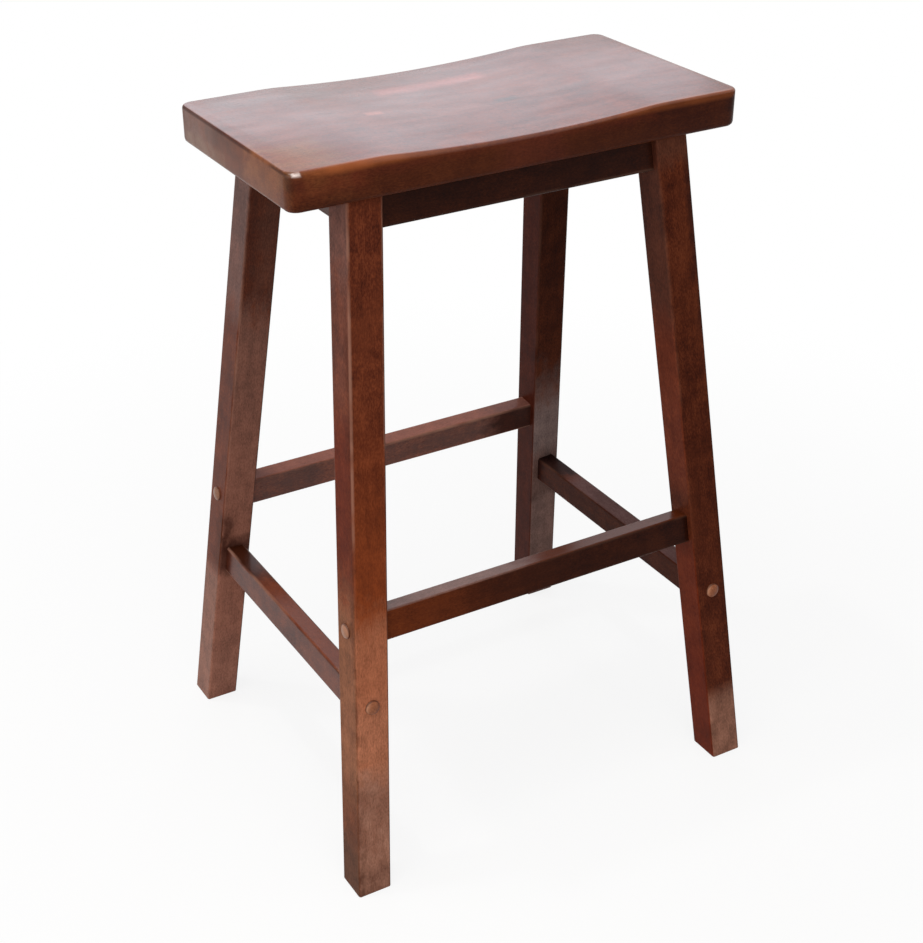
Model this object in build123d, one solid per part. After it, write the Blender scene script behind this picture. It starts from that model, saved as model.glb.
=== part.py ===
from build123d import *
import os
from dataclasses import dataclass
from math import asin, cos, degrees, radians, sin, sqrt, tan

# A saddle stool of bar height, all of wood: a plank seat dished along its length, on four square
# legs that splay both ways. Four aprons join the legs under the seat. Two long stretchers and two
# lower end stretchers join them further down, and domed buttons hide the stretcher screws.
# Lengths are millimetres. The origin is on the floor under the middle of the seat.
# +X runs along the seat, -Y is the front and +Z is up.

# The seat plank, its dish and its rounded edges
seat_height = 737
seat_length = 480
seat_depth = 240
seat_thickness = 36
seat_corner_radius = 12
seat_top_round = 5
seat_bottom_chamfer = 2
dish_depth = 5.7
dish_half_length = 155
dish_shoulder_radius = 300

# The legs: square stock with soft arrises, its splay, and how far the seat stands over its top
leg_width = 36.5
leg_arris = 2.5
foot_chamfer = 1
splay_to_ends = radians(5)
splay_to_front = radians(8)
overhang_at_ends = 56.7
overhang_at_front = 5.3

# The aprons, and how deep they are set back from the outer faces of the legs
apron_height = 32
apron_thickness = 20.5
apron_arris = 2
long_apron_setback = 8
end_apron_setback = 11

# The stretchers, and the heights of their middles
stretcher_height = 32
stretcher_thickness = 20.5
stretcher_arris = 2.5
long_stretcher_level = 285
end_stretcher_level = 205.5

# The stub tenons on both ends of every apron and stretcher
tenon_length = 10
tenon_height = 18
tenon_thickness = 9

# The wood screws, all of one gauge. They and their holes are hidden and repeat often, so they have
# only ten flat sides.
screw_radius = 2.1
screw_head_radius = 4.2
screw_head_height = 2.8
screw_point_length = 6
screw_point_radius = 0.4
screw_sides = 10

# The stretcher screws lie at the bottom of a socket in the leg that a button closes
stretcher_screw_length = 63
socket_radius = 5
socket_depth = 10
button_radius = 7.8
button_height = 3.6
button_stem_length = 7

# The corner blocks behind the legs, screwed to the aprons and up into the seat
block_height = 26
block_width = 30
block_clearance = 1
block_screw_length = 30
block_screw_offset = 22
seat_screw_length = 40
counterbore_depth = 6
counterbore_radius = 5

# Room round the glued and screwed pieces, and how far a cut runs past what it cuts
fit_gap = 0.1
overrun = 40

# The underside of the seat, and the legs measured level there and on the floor
seat_underside = seat_height - seat_thickness
leg_span_x = leg_width / cos(splay_to_ends)
leg_span_y = leg_width / cos(splay_to_front)
leg_top_x = seat_length / 2 - overhang_at_ends - leg_span_x / 2
leg_top_y = seat_depth / 2 - overhang_at_front - leg_span_y / 2
foot_x = leg_top_x + seat_underside * tan(splay_to_ends)
foot_y = leg_top_y + seat_underside * tan(splay_to_front)

# The planes that the stool's like pieces mirror in, and the one that swaps X and Y
left_right = Plane.YZ
front_back = Plane.XZ
diagonal = Plane(origin=(0, 0, 0), z_dir=(1, -1, 0))


def screw(length, room=0):
    """A countersunk wood screw, its head's top at the origin and its point down, or its hole."""
    shoulder = screw_point_length - length
    outline = [(0, screw_head_radius), (-screw_head_height, screw_radius), (shoulder, screw_radius),
               (-length - room, screw_point_radius)]
    rings = [Pos(0, 0, height) * RegularPolygon(radius + room, screw_sides) for height, radius in outline]
    return loft(rings, ruled=True)


def screw_hole(length, mouth_radius):
    """The hole of a screw with the wider mouth that its head goes down."""
    return screw(length, fit_gap) + extrude(RegularPolygon(mouth_radius, screw_sides), amount=overrun)


def button():
    """A button along Z: a turned domed head above the origin and a stem below it."""
    dome_radius = (button_radius**2 + button_height**2) / (2 * button_height)
    rim_angle = degrees(asin((dome_radius - button_height) / dome_radius))
    outline = Polyline((0, button_height), (0, 0), (button_radius, 0))
    outline += CenterArc((0, button_height - dome_radius), dome_radius, rim_angle, 90 - rim_angle)
    head = revolve(Plane.XZ * make_face(outline), axis=Axis.Z)
    return head + extrude(RegularPolygon(socket_radius - fit_gap, screw_sides), amount=-button_stem_length)


@dataclass(frozen=True)
class Side:
    """A pair of like sides of the stool, worked on with its rails along X and one side at +Y.

    lean is how far the side leans out, end_lean how far the legs lean along the rails, and
    leg_along and leg_across are the middle of a leg's top. The stool's ends are crossed: their
    pieces are swapped into place over the diagonal.
    """

    lean: float
    end_lean: float
    leg_along: float
    leg_across: float
    crossed: bool

    def shoulder(self, level):
        """How far along the rails a leg's inner face stands at a height."""
        half_leg = leg_width / cos(self.end_lean) / 2
        return self.leg_along - half_leg + (seat_underside - level) * tan(self.end_lean)

    def outward(self):
        """The direction square out of the leaning side."""
        return Vector(0, cos(self.lean), sin(self.lean))

    def section(self, level, distance=0):
        """The section plane at a height of the legs' middle, or a distance out, x out and y up."""
        middle = Vector(0, self.leg_across + (seat_underside - level) * tan(self.lean), level)
        return Plane(origin=middle + self.outward() * distance, x_dir=self.outward(), z_dir=(1, 0, 0))

    def bar(self, plane, profile):
        """A profile run along X past both legs."""
        return extrude(plane * profile, amount=self.shoulder(0) + leg_width, both=True)

    def between_legs(self, depth=0):
        """The wedge between the legs' inner faces under the seat, or a depth into the legs."""
        foot = self.shoulder(0) + depth / cos(self.end_lean)
        top = self.shoulder(seat_underside) + depth / cos(self.end_lean)
        outline = Polygon((-foot, 0), (foot, 0), (top, seat_underside), (-top, seat_underside), align=None)
        return extrude(Plane.XZ * outline, amount=seat_height, both=True)

    def on_leg(self, place):
        """The plane in the +X leg's inner face at a place, its normal square into the leg."""
        into_leg = (cos(self.end_lean), 0, sin(self.end_lean))
        return Plane(origin=(self.shoulder(place.Z), place.Y, place.Z), z_dir=into_leg)

    def settled(self, shape):
        """A piece of this side in its true place."""
        return mirror(shape, about=diagonal) if self.crossed else shape


@dataclass(frozen=True)
class Rail:
    """A rail of one side between two legs, a distance out of their middle, with its stub tenons."""

    side: Side
    level: float
    distance: float

    def plane(self):
        """The rail's section plane, where its middle line crosses its level."""
        return self.side.section(self.level, self.distance)

    def middle_height(self):
        """The height in that plane of the middle of the rail and of its tenons."""
        return 0

    def tenons(self, room=0):
        """The bar between the bottoms of the mortises, or the wider one that cuts them."""
        tenon = Rectangle(tenon_thickness + 2 * room, tenon_height + 2 * room)
        bar = self.side.bar(self.plane(), Pos(0, self.middle_height()) * tenon)
        return bar & self.side.between_legs(tenon_length + room)


class Apron(Rail):
    """A rail under the seat, its top bevelled to lie flat against it."""

    def outer_edge(self):
        """The height in the section plane at which the outer face meets the seat."""
        return -(self.distance + apron_thickness / 2) * tan(self.side.lean)

    def middle_height(self):
        """The middle of the apron's outer face."""
        return self.outer_edge() - apron_height / 2

    def inner_face(self):
        """How far out the inner face meets the seat."""
        return self.side.leg_across + (self.distance - apron_thickness / 2) / cos(self.side.lean)

    def blank(self):
        """The apron without tenons and before it is bored."""
        tall = apron_height + overrun
        profile = Pos(0, self.outer_edge() - apron_height + tall / 2) * RectangleRounded(
            apron_thickness, tall, apron_arris)
        return self.side.bar(self.plane(), profile) & self.side.between_legs()

    def solid(self, screw_hole):
        """The apron with its tenons and a screw's pilot hole at both ends."""
        return self.blank() + self.tenons() - at_both_ends(screw_hole)


class Stretcher(Rail):
    """A rail in the middle of its legs, with a screw at each end."""

    def driving_plane(self):
        """The plane in the +X leg's outer face, opposite the stretcher's end, that the screw crosses."""
        return self.side.on_leg(self.plane().origin).offset(leg_width)

    def screw(self):
        """The screw at the +X end."""
        return self.driving_plane().offset(-socket_depth) * screw(stretcher_screw_length)

    def screw_hole(self):
        """The hole of that screw, with the socket in the leg."""
        plane = self.driving_plane().offset(-socket_depth)
        return plane * screw_hole(stretcher_screw_length, socket_radius)

    def button(self):
        """The button that closes the socket."""
        return self.driving_plane() * button()

    def solid(self):
        """The stretcher with its tenons and pilot holes."""
        profile = RectangleRounded(stretcher_thickness, stretcher_height, stretcher_arris)
        body = self.side.bar(self.plane(), profile) & self.side.between_legs()
        return body + self.tenons() - at_both_ends(self.screw_hole())


@dataclass(frozen=True)
class CornerBlock:
    """The block in the +X +Y corner, screwed to the two aprons that it lies against and to the seat."""

    long_apron: Apron
    end_apron: Apron

    def sawn_line(self, distance):
        """X plus Y on the line across the corner, at a distance from the block's side by the leg."""
        leg_corner = leg_top_x - leg_span_x / 2 + leg_top_y - leg_span_y / 2
        return leg_corner - (block_clearance + distance) * sqrt(2)

    def middle(self):
        """The place of the seat screw, as far from one apron as from the other."""
        in_x, in_y = self.end_apron.inner_face(), self.long_apron.inner_face()
        inset = (in_x + in_y - self.sawn_line(block_width / 2)) / 2
        return in_x - inset, in_y - inset

    def apron_screw_plane(self, apron):
        """The plane of the head of the screw into an apron, among that apron's side's own places."""
        along = self.middle()[apron.side.crossed] - block_screw_offset
        back = (along, self.sawn_line(block_width) - along, seat_underside - block_height / 2)
        return Plane(origin=back, z_dir=-apron.side.outward()).offset(-counterbore_depth)

    def seat_screw_plane(self):
        """The plane of the head of the screw into the seat."""
        head = (*self.middle(), seat_underside - block_height + counterbore_depth)
        return Plane(origin=head, z_dir=(0, 0, -1))

    def apron_screw(self, apron):
        """The screw into an apron."""
        return self.apron_screw_plane(apron) * screw(block_screw_length)

    def apron_screw_hole(self, apron):
        """The hole of the screw into an apron."""
        return self.apron_screw_plane(apron) * screw_hole(block_screw_length, counterbore_radius)

    def seat_screw(self):
        """The screw into the seat."""
        return self.seat_screw_plane() * screw(seat_screw_length)

    def seat_screw_hole(self):
        """The hole of the screw into the seat."""
        return self.seat_screw_plane() * screw_hole(seat_screw_length, counterbore_radius)

    def solid(self):
        """The block, sawn to the leaning faces of its aprons, with its holes."""
        near, far = self.sawn_line(0), self.sawn_line(block_width)
        # The plan ends within the aprons, which then cut it to their faces.
        out_x = self.end_apron.inner_face() + apron_thickness / 2
        out_y = self.long_apron.inner_face() + apron_thickness / 2
        plan = Polygon((near - out_y, out_y), (far - out_y, out_y), (out_x, far - out_x),
                       (out_x, near - out_x), align=None)
        block = extrude(Pos(0, 0, seat_underside) * plan, amount=-block_height)
        for apron in (self.long_apron, self.end_apron):
            block -= apron.side.settled(apron.blank())
            block -= apron.side.settled(self.apron_screw_hole(apron))
        return block - self.seat_screw_hole()


def at_both_ends(*shapes):
    """The shapes and their mirror images at the -X end."""
    return [*shapes, *[mirror(shape, about=left_right) for shape in shapes]]


def at_all_corners(*shapes):
    """The shapes of the +X +Y corner and their mirror images in the other three."""
    ends = at_both_ends(*shapes)
    return [*ends, *[mirror(shape, about=front_back) for shape in ends]]


def make_seat(block):
    """The seat plank: a dished profile run through its depth, rounded, with its pilot holes."""
    # The hollow and its two shoulders are tangent arcs that together drop by the depth of the dish.
    hollow_radius = (dish_half_length**2 + dish_depth**2) / (2 * dish_depth) - dish_shoulder_radius
    sweep = degrees(asin(dish_half_length / (hollow_radius + dish_shoulder_radius)))
    end = seat_length / 2
    outline = Polyline((-dish_half_length, seat_height), (-end, seat_height), (-end, seat_underside),
                       (end, seat_underside), (end, seat_height), (dish_half_length, seat_height))
    shoulder_centre = (dish_half_length, seat_height - dish_shoulder_radius)
    shoulder = CenterArc(shoulder_centre, dish_shoulder_radius, 90, sweep)
    hollow = CenterArc((0, seat_height - dish_depth + hollow_radius), hollow_radius, 270 - sweep, 2 * sweep)
    outline += [shoulder, hollow, mirror(shoulder, about=left_right)]
    plank = extrude(Plane.XZ * make_face(outline), amount=seat_depth / 2, both=True)
    plank = fillet(plank.edges().filter_by(Axis.Z), seat_corner_radius)
    plank = fillet(rim_edges(plank, above=True), seat_top_round)
    plank = chamfer(rim_edges(plank, above=False), seat_bottom_chamfer)
    return plank - at_all_corners(block.seat_screw_hole())


def rim_edges(plank, above):
    """The edges round the plank's outline, at its top or at its underside."""
    chosen = []
    for edge in plank.edges().filter_by(Axis.Z, reverse=True):
        middle = edge.center()
        on_rim = (abs(middle.X) > seat_length / 2 - seat_corner_radius
                  or abs(middle.Y) > seat_depth / 2 - seat_corner_radius)
        if on_rim and (middle.Z > seat_height - seat_thickness / 2) == above:
            chosen.append(edge)
    return chosen


def make_leg(aprons, stretchers):
    """The +X +Y leg: square stock leaning both ways, cut level at both ends, with its joints."""
    foot = Pos(foot_x, foot_y) * Rectangle(leg_span_x, leg_span_y)
    lean = Vector(leg_top_x - foot_x, leg_top_y - foot_y, seat_underside)
    leg = extrude(foot, amount=lean.length, dir=lean)
    leg = fillet(leg.edges().sort_by(SortBy.LENGTH)[-4:], leg_arris)
    leg = chamfer(leg.faces().sort_by(Axis.Z)[0].edges(), foot_chamfer)
    leg -= [rail.side.settled(rail.tenons(fit_gap)) for rail in (*aprons, *stretchers)]
    return leg - [stretcher.side.settled(stretcher.screw_hole()) for stretcher in stretchers]


def corner_pieces(name, shape):
    """A piece of the +X +Y corner and its likes, each named after its corner."""
    front = mirror(shape, about=front_back)
    return {f"{name}_front_left": mirror(front, about=left_right), f"{name}_front_right": front,
            f"{name}_back_left": mirror(shape, about=left_right), f"{name}_back_right": shape}


def side_pieces(name, back, right):
    """The rails of the four sides, each named after its side."""
    return {f"{name}_front": mirror(back, about=front_back), f"{name}_back": back,
            f"{name}_left": mirror(right, about=left_right), f"{name}_right": right}


def make_stool():
    """Every piece of the stool under its name."""
    long_side = Side(splay_to_front, splay_to_ends, leg_top_x, leg_top_y, crossed=False)
    end_side = Side(splay_to_ends, splay_to_front, leg_top_y, leg_top_x, crossed=True)
    aprons = [Apron(side, seat_underside, leg_width / 2 - setback - apron_thickness / 2)
              for side, setback in ((long_side, long_apron_setback), (end_side, end_apron_setback))]
    stretchers = [Stretcher(side, level, 0)
                  for side, level in ((long_side, long_stretcher_level), (end_side, end_stretcher_level))]
    block = CornerBlock(*aprons)

    apron_solids = [apron.side.settled(apron.solid(block.apron_screw_hole(apron))) for apron in aprons]
    stretcher_solids = [stretcher.side.settled(stretcher.solid()) for stretcher in stretchers]
    stretcher_screws = [stretcher.side.settled(stretcher.screw()) for stretcher in stretchers]
    buttons = [stretcher.side.settled(stretcher.button()) for stretcher in stretchers]
    block_screws = [apron.side.settled(block.apron_screw(apron)) for apron in aprons]
    return {
        "seat": make_seat(block),
        **corner_pieces("leg", make_leg(aprons, stretchers)),
        **side_pieces("apron", *apron_solids),
        **side_pieces("stretcher", *stretcher_solids),
        **corner_pieces("corner_block", block.solid()),
        "stretcher_screws": Compound(children=at_all_corners(*stretcher_screws)),
        "button_plugs": Compound(children=at_all_corners(*buttons)),
        "block_screws": Compound(children=at_all_corners(*block_screws)),
        "seat_screws": Compound(children=at_all_corners(block.seat_screw())),
    }


os.makedirs("parts", exist_ok=True)
for name, piece in make_stool().items():
    piece.label = name
    export_step(piece, f"parts/{name}.step")
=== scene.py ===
"""A saddle stool of stained hardwood, dressed for its photograph.

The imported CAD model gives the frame. This script models the dished seat, the domed buttons and the
screws afresh, gives every piece its own wood or steel, and sets up the studio and the camera.
Lengths are metres, +X runs along the seat, -Y is the front and +Z is up. What every corner has is
set out for the back right one and mirrored to the others.
"""

import logging
from collections.abc import Callable, Iterable
from dataclasses import dataclass, field
from enum import Enum
from math import cos, pi, radians, sin, sqrt, tan

import bmesh
import bpy
from mathutils import Matrix, Vector


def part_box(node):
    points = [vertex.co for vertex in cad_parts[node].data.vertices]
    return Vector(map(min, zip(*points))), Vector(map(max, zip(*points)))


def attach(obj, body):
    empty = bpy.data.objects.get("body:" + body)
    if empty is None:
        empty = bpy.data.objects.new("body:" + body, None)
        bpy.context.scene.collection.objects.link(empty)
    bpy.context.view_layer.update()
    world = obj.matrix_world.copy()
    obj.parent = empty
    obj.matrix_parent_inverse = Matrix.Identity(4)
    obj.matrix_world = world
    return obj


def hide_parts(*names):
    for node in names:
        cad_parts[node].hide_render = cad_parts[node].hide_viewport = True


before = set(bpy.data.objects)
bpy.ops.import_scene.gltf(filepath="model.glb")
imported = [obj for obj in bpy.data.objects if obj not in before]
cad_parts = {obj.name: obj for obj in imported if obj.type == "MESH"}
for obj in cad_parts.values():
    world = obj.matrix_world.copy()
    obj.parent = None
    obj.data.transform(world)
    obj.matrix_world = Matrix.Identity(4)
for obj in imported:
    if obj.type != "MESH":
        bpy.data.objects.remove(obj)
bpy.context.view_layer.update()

BODY = "root"
MILLIMETRE = 0.001
# Places nearer than this count as one
HAIR = 0.001 * MILLIMETRE

Colour = tuple[float, float, float]
Span = tuple[float, float]
Socket = bpy.types.NodeSocket

log = logging.getLogger("stool")


def millimetres(*lengths: float) -> tuple[float, ...]:
    """Bring lengths in millimetres to metres."""
    return tuple(length * MILLIMETRE for length in lengths)


def middle_of(node: str) -> Vector:
    """Find the middle of a CAD node's box."""
    low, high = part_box(node)
    return (low + high) / 2


# How the stool is set out

LEG_WIDTH = 36.5 * MILLIMETRE
END_LEAN = radians(5)
SIDE_LEAN = radians(8)
LEG_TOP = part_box("leg_back_right")[1].z


def leg_axis(level: float) -> Vector:
    """Find where the back right leg's middle is, from the stretchers that lie in the legs' middles.

    Args:
        level: the height over the floor.

    Returns:
        The place at that height.
    """
    end, side = middle_of("stretcher_right"), middle_of("stretcher_back")
    x = end.x + (end.z - level) * tan(END_LEAN)
    y = side.y + (side.z - level) * tan(SIDE_LEAN)
    return Vector((x, y, level))


class Corner(Enum):
    """A corner of the stool, with its name and the signs of its X and Y."""

    FRONT_LEFT = ("front_left", -1, -1)
    FRONT_RIGHT = ("front_right", 1, -1)
    BACK_LEFT = ("back_left", -1, 1)
    BACK_RIGHT = ("back_right", 1, 1)

    def __init__(self, label: str, x: int, y: int) -> None:
        """Keep the corner's name and signs."""
        self.label, self.x, self.y = label, x, y

    def mirrored(self, vector: Vector) -> Vector:
        """Bring a place or direction of the back right corner to this one."""
        return Vector((self.x * vector.x, self.y * vector.y, vector.z))


class Side(Enum):
    """A side of the stool, with its name and which way it faces."""

    FRONT = ("front", 0, -1)
    BACK = ("back", 0, 1)
    LEFT = ("left", -1, 0)
    RIGHT = ("right", 1, 0)

    def __init__(self, label: str, x: int, y: int) -> None:
        """Keep the side's name and direction."""
        self.label, self.x, self.y = label, x, y


class Joint(Enum):
    """A stretcher's joint in the back right leg, with its name, the stretcher and how its screw runs.

    The screw runs square to the leg's outer face, which leans, through the middle of the
    stretcher's shoulder.
    """

    UPPER = ("upper", "stretcher_back", (1, 0, 0), END_LEAN)
    LOWER = ("lower", "stretcher_right", (0, 1, 0), SIDE_LEAN)

    def __init__(self, label: str, stretcher: str, across: tuple[int, int, int], lean: float) -> None:
        """Work out where the screw's line is.

        Args:
            label: the joint's name.
            stretcher: the CAD node that the screw holds.
            across: the level direction in which the stretcher meets the leg.
            lean: how far the leg's outer face leans from upright.
        """
        self.label = label
        self.out = cos(lean) * Vector(across) + sin(lean) * Vector((0, 0, 1))
        self.shoulder = leg_axis(middle_of(stretcher).z) - LEG_WIDTH / 2 / cos(lean) * Vector(across)

    def under_face(self, depth: float) -> Vector:
        """Find where the screw's line is at a depth under the leg's outer face."""
        return self.shoulder + (LEG_WIDTH - depth) * self.out


class Face(Enum):
    """Which of a piece's faces a patch of stain lies on, with its outward direction."""

    ANY = (0, 0, 0)
    FRONT = (0, -1, 0)
    LEFT = (-1, 0, 0)
    TOP = (0, 0, 1)


# Shader graphs


class Signal:
    """A number that varies over a surface. Arithmetic on it adds Math nodes to its graph."""

    def __init__(self, graph: "Graph", socket: Socket) -> None:
        """Wrap an output socket of a graph."""
        self.graph = graph
        self.socket = socket

    def _math(self, operation: str, *values: "Signal | float") -> "Signal":
        """Add a Math node on these values."""
        node = self.graph.node("ShaderNodeMath", {"operation": operation}, dict(enumerate(values)))
        return Signal(self.graph, node.outputs[0])

    def __add__(self, other: "Signal | float") -> "Signal":
        """Add a number or another signal."""
        return self._math("ADD", self, other)

    __radd__ = __add__

    def __sub__(self, other: "Signal | float") -> "Signal":
        """Take a number or another signal away."""
        return self._math("SUBTRACT", self, other)

    def __rsub__(self, other: float) -> "Signal":
        """Take this signal from a number."""
        return self._math("SUBTRACT", other, self)

    def __mul__(self, other: "Signal | float") -> "Signal":
        """Multiply by a number or another signal."""
        return self._math("MULTIPLY", self, other)

    __rmul__ = __mul__

    def __abs__(self) -> "Signal":
        """Drop the sign."""
        return self._math("ABSOLUTE", self)

    def floor(self) -> "Signal":
        """Round down to a whole number."""
        return self._math("FLOOR", self)

    def largest(self, other: "Signal | float") -> "Signal":
        """Take the larger of this and another."""
        return self._math("MAXIMUM", self, other)

    def step(self, low: float, high: float) -> "Signal":
        """Rise smoothly from 0 at one value to 1 at another.

        Args:
            low: the value that gives 0.
            high: the value that gives 1, which may be the lower number.

        Returns:
            The share, held between 0 and 1.
        """
        settings = {"interpolation_type": "SMOOTHSTEP"}
        inputs = {"Value": self, "From Min": low, "From Max": high}
        return Signal(self.graph, self.graph.node("ShaderNodeMapRange", settings, inputs).outputs[0])


@dataclass(frozen=True)
class Figure:
    """A layer of a material's figure: a noise, stretched differently along each axis.

    fineness is how many features it has to a metre, along each axis, and shift takes it to its own
    part of the pattern. detail is how many finer layers it has, and roughness how strong they are.
    """

    fineness: tuple[float, float, float]
    shift: float
    detail: float = 2.0
    roughness: float = 0.5


BLOTCHES = Figure((9, 16, 16), 0, 3)
CLOUDS = Figure((38, 60, 60), 1, 3, 0.65)
BANDS = Figure((70, 14, 14), 2, 1)
STREAKS = Figure((14, 190, 190), 3, 3, 0.55)
FLECKS = Figure((330, 700, 700), 4, 2, 0.6)
PORES = Figure((160, 1500, 1500), 5)
# Noises for how patchy the pale arrises and the seat's orange front rim are, partly wear and partly painted
# light.
ARRIS_WEAR_AND_LIGHT = Figure((22, 15, 15), 6)
RIM_WEAR_AND_LIGHT = Figure((30, 30, 30), 6, 3)
LACQUER = Figure((16, 60, 60), 7)
GLUE_LINES = Figure((9, 9, 9), 8)
SAWN_GRAIN = Figure((10, 260, 260), 0, 4, 0.6)
SAW_MARKS = Figure((420, 24, 24), 1)
SPANGLE = Figure((900, 900, 900), 1)
TARNISH = Figure((160, 160, 160), 2, 3)


class Graph:
    """The nodes of one material or world.

    seed_start is where in the pattern a noise of seed 0 is read, and seed_steps how far on each
    next whole seed is.
    """

    seed_start = (0.0, 11.0, -4.0)
    seed_steps = (7.31, 3.17, 5.93)

    def __init__(self, tree: bpy.types.NodeTree) -> None:
        """Empty a node tree and keep it."""
        tree.nodes.clear()
        self.tree = tree

    def node(self, kind: str, settings: dict | None = None, inputs: dict | None = None) -> bpy.types.Node:
        """Add a node of any kind.

        Args:
            kind: the node's Blender type.
            settings: its properties, set first. "stops" are a ramp's places and colours.
            inputs: what its sockets, by name or number, hold or are linked to.

        Returns:
            The new node.
        """
        node = self.tree.nodes.new(kind)
        for name, value in (settings or {}).items():
            if name == "stops":
                ramp = node.color_ramp
                while len(ramp.elements) < len(value):
                    ramp.elements.new(1.0)
                for element, (place, colour) in zip(ramp.elements, value):
                    element.position, element.color = place, (*colour, 1.0)
            else:
                setattr(node, name, value)
        for name, value in (inputs or {}).items():
            if isinstance(value, Signal):
                value = value.socket
            if isinstance(value, Socket):
                self.tree.links.new(value, node.inputs[name])
            else:
                node.inputs[name].default_value = value
        return node

    def mix(self, share: Signal | float, first: Socket | Colour, second: Socket | Colour) -> Socket:
        """Mix two colours.

        Args:
            share: how much of the second colour is used.
            first: a colour or a colour socket.
            second: a colour or a colour socket.

        Returns:
            The mixed colour's socket.
        """
        first, second = ((*c, 1.0) if isinstance(c, tuple) else c for c in (first, second))
        return self.node("ShaderNodeMix", {"data_type": "RGBA"}, {0: share, 6: first, 7: second}).outputs[2]

    def noise(self, place: Socket, figure: Figure, seed: float = 0.0) -> Signal:
        """Add the noise of a figure.

        Args:
            place: the coordinates that it reads.
            figure: how fine and rough it is.
            seed: takes it to the piece's own part of the pattern.

        Returns:
            The noise, mostly between 0.3 and 0.7.
        """
        seed += figure.shift
        moves = (start + seed * step for start, step in zip(self.seed_start, self.seed_steps))
        moved = self.node("ShaderNodeMapping", {}, {
            "Vector": place, "Location": tuple(moves), "Scale": figure.fineness})
        noise = self.node("ShaderNodeTexNoise", {}, {
            "Vector": moved.outputs[0], "Scale": 1.0, "Detail": figure.detail, "Roughness": figure.roughness})
        return Signal(self, noise.outputs[0])

    def parts(self, vector: Socket) -> tuple[Signal, Signal, Signal]:
        """Split a vector into its three numbers."""
        outputs = self.node("ShaderNodeSeparateXYZ", {}, {0: vector}).outputs
        return Signal(self, outputs[0]), Signal(self, outputs[1]), Signal(self, outputs[2])

    def bump(self, strength: float, depth: float, height: Signal) -> Socket:
        """Let a signal raise the surface by up to a depth."""
        inputs = {"Strength": strength, "Distance": depth, "Height": height}
        return self.node("ShaderNodeBump", {}, inputs).outputs[0]

    def show(self, inputs: dict) -> None:
        """Add the surface's shader on these sockets, and send it to the output."""
        shader = self.node("ShaderNodeBsdfPrincipled", {}, inputs)
        self.node("ShaderNodeOutputMaterial", {}, {"Surface": shader.outputs[0]})


def shaded(colour: Colour, shade: float) -> Colour:
    """Scale a colour's brightness."""
    return colour[0] * shade, colour[1] * shade, colour[2] * shade


def new_material(name: str) -> tuple[bpy.types.Material, Graph]:
    """Make an empty node material.

    Args:
        name: the material's name.

    Returns:
        The material and its graph.
    """
    material = bpy.data.materials.new(name)
    material.use_nodes = True
    return material, Graph(material.node_tree)


# Finishes


@dataclass(frozen=True)
class Patch:
    """A part of a piece coloured otherwise, soft at its border.

    Most are where the stain took otherwise; some are painted shade, shadow, sheen and a glint,
    noted where they are listed.

    middle and half_size are along the piece, across it and up it, from its middle. fray is how
    ragged the border is, against its width.
    """

    middle: tuple[float, float, float]
    half_size: tuple[float, float, float]
    border: float
    colour: Colour
    strength: float
    face: Face = Face.ANY
    fray: float = 1.5

    def share(self, skin: "Skin") -> Signal:
        """Add the patch's share of the surface.

        Args:
            skin: the surface that it lies on.

        Returns:
            The share, up to the patch's strength.
        """
        spot = (skin.along, skin.across, skin.high)
        along, across, high = (abs(spot[i] - self.middle[i]) - self.half_size[i] for i in range(3))
        beyond = along.largest(across).largest(high) + self.border * self.fray * (skin.clouds - 0.5)
        share = self.strength * (1 - beyond.step(-self.border / 2, self.border / 2))
        if self.face is Face.ANY:
            return share
        x, y, z = self.face.value
        return share * (skin.right * x + skin.back * y + skin.up * z).step(0.5, 0.9)


def band(face: Face, first: float, last: float, border: float, colour: Colour, strength: float) -> Patch:
    """Make a patch right across a face of a piece, between two places along it.

    Args:
        face: which face it lies on.
        first: the place along the piece where it starts, in metres from the piece's middle.
        last: the place where it ends.
        border: how wide its soft border is.
        colour: its colour.
        strength: how much of its colour it has in its middle.

    Returns:
        The patch.
    """
    return Patch(((first + last) / 2, 0, 0), (abs(first - last) / 2, 1, 1), border, colour, strength, face)


@dataclass(frozen=True)
class Cut:
    """How a piece was cut from its board and how it took the stain.

    middle is the piece's middle, along the direction of its grain and up another of its sides.
    half_wide and half_high are half its width and height across the grain, to find its arrises.
    shade is how light the stain came out, 1 for the usual. fading_and_light is how much lighter its
    front grows between the two places along it in fading_and_light_span, partly stain that has paled
    and partly painted light. floor_reflection is how much painted reflection of the pale floor greys
    its front past the places in floor_reflection_span. bloom_and_sheen is how much of a pale layer
    lies all over it, partly lacquer bloom and partly painted sheen. sheen is how much of its lacquer
    it keeps, which makes it shine, and wear how bare its arrises are rubbed and how bright the
    painted highlight along them is.
    """

    middle: Vector
    along: Vector
    up: Vector
    half_wide: float
    half_high: float
    seed: float
    shade: float = 1.0
    # The front grows lighter along the piece: partly paled stain, partly painted light.
    fading_and_light: float = 0.0
    fading_and_light_span: Span = (0.22, -0.08)
    # Painted reflection of the pale floor, greying the front low down.
    floor_reflection: float = 0.0
    floor_reflection_span: Span = (-0.22, -0.33)
    # A pale layer all over: partly lacquer bloom, partly painted sheen.
    bloom_and_sheen: float = 0.0
    sheen: float = 1.0
    # How bare the arrises are rubbed, which also sets how bright the painted highlight along them is.
    wear: float = 1.0
    patches: tuple[Patch, ...] = ()

    def coordinates(self, graph: Graph) -> Socket:
        """Add the piece's own coordinates, X along the grain, from its middle.

        Args:
            graph: the material's nodes.

        Returns:
            The coordinates' socket, in metres.
        """
        x_axis = self.along.normalized()
        y_axis = self.up.cross(x_axis).normalized()
        turn = Matrix((x_axis, y_axis, x_axis.cross(y_axis))).transposed().to_euler("XYZ")
        places = graph.node("ShaderNodeTexCoord")
        return graph.node("ShaderNodeMapping", {"vector_type": "TEXTURE"}, {
            "Vector": places.outputs["Object"], "Location": self.middle, "Rotation": turn}).outputs[0]


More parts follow.
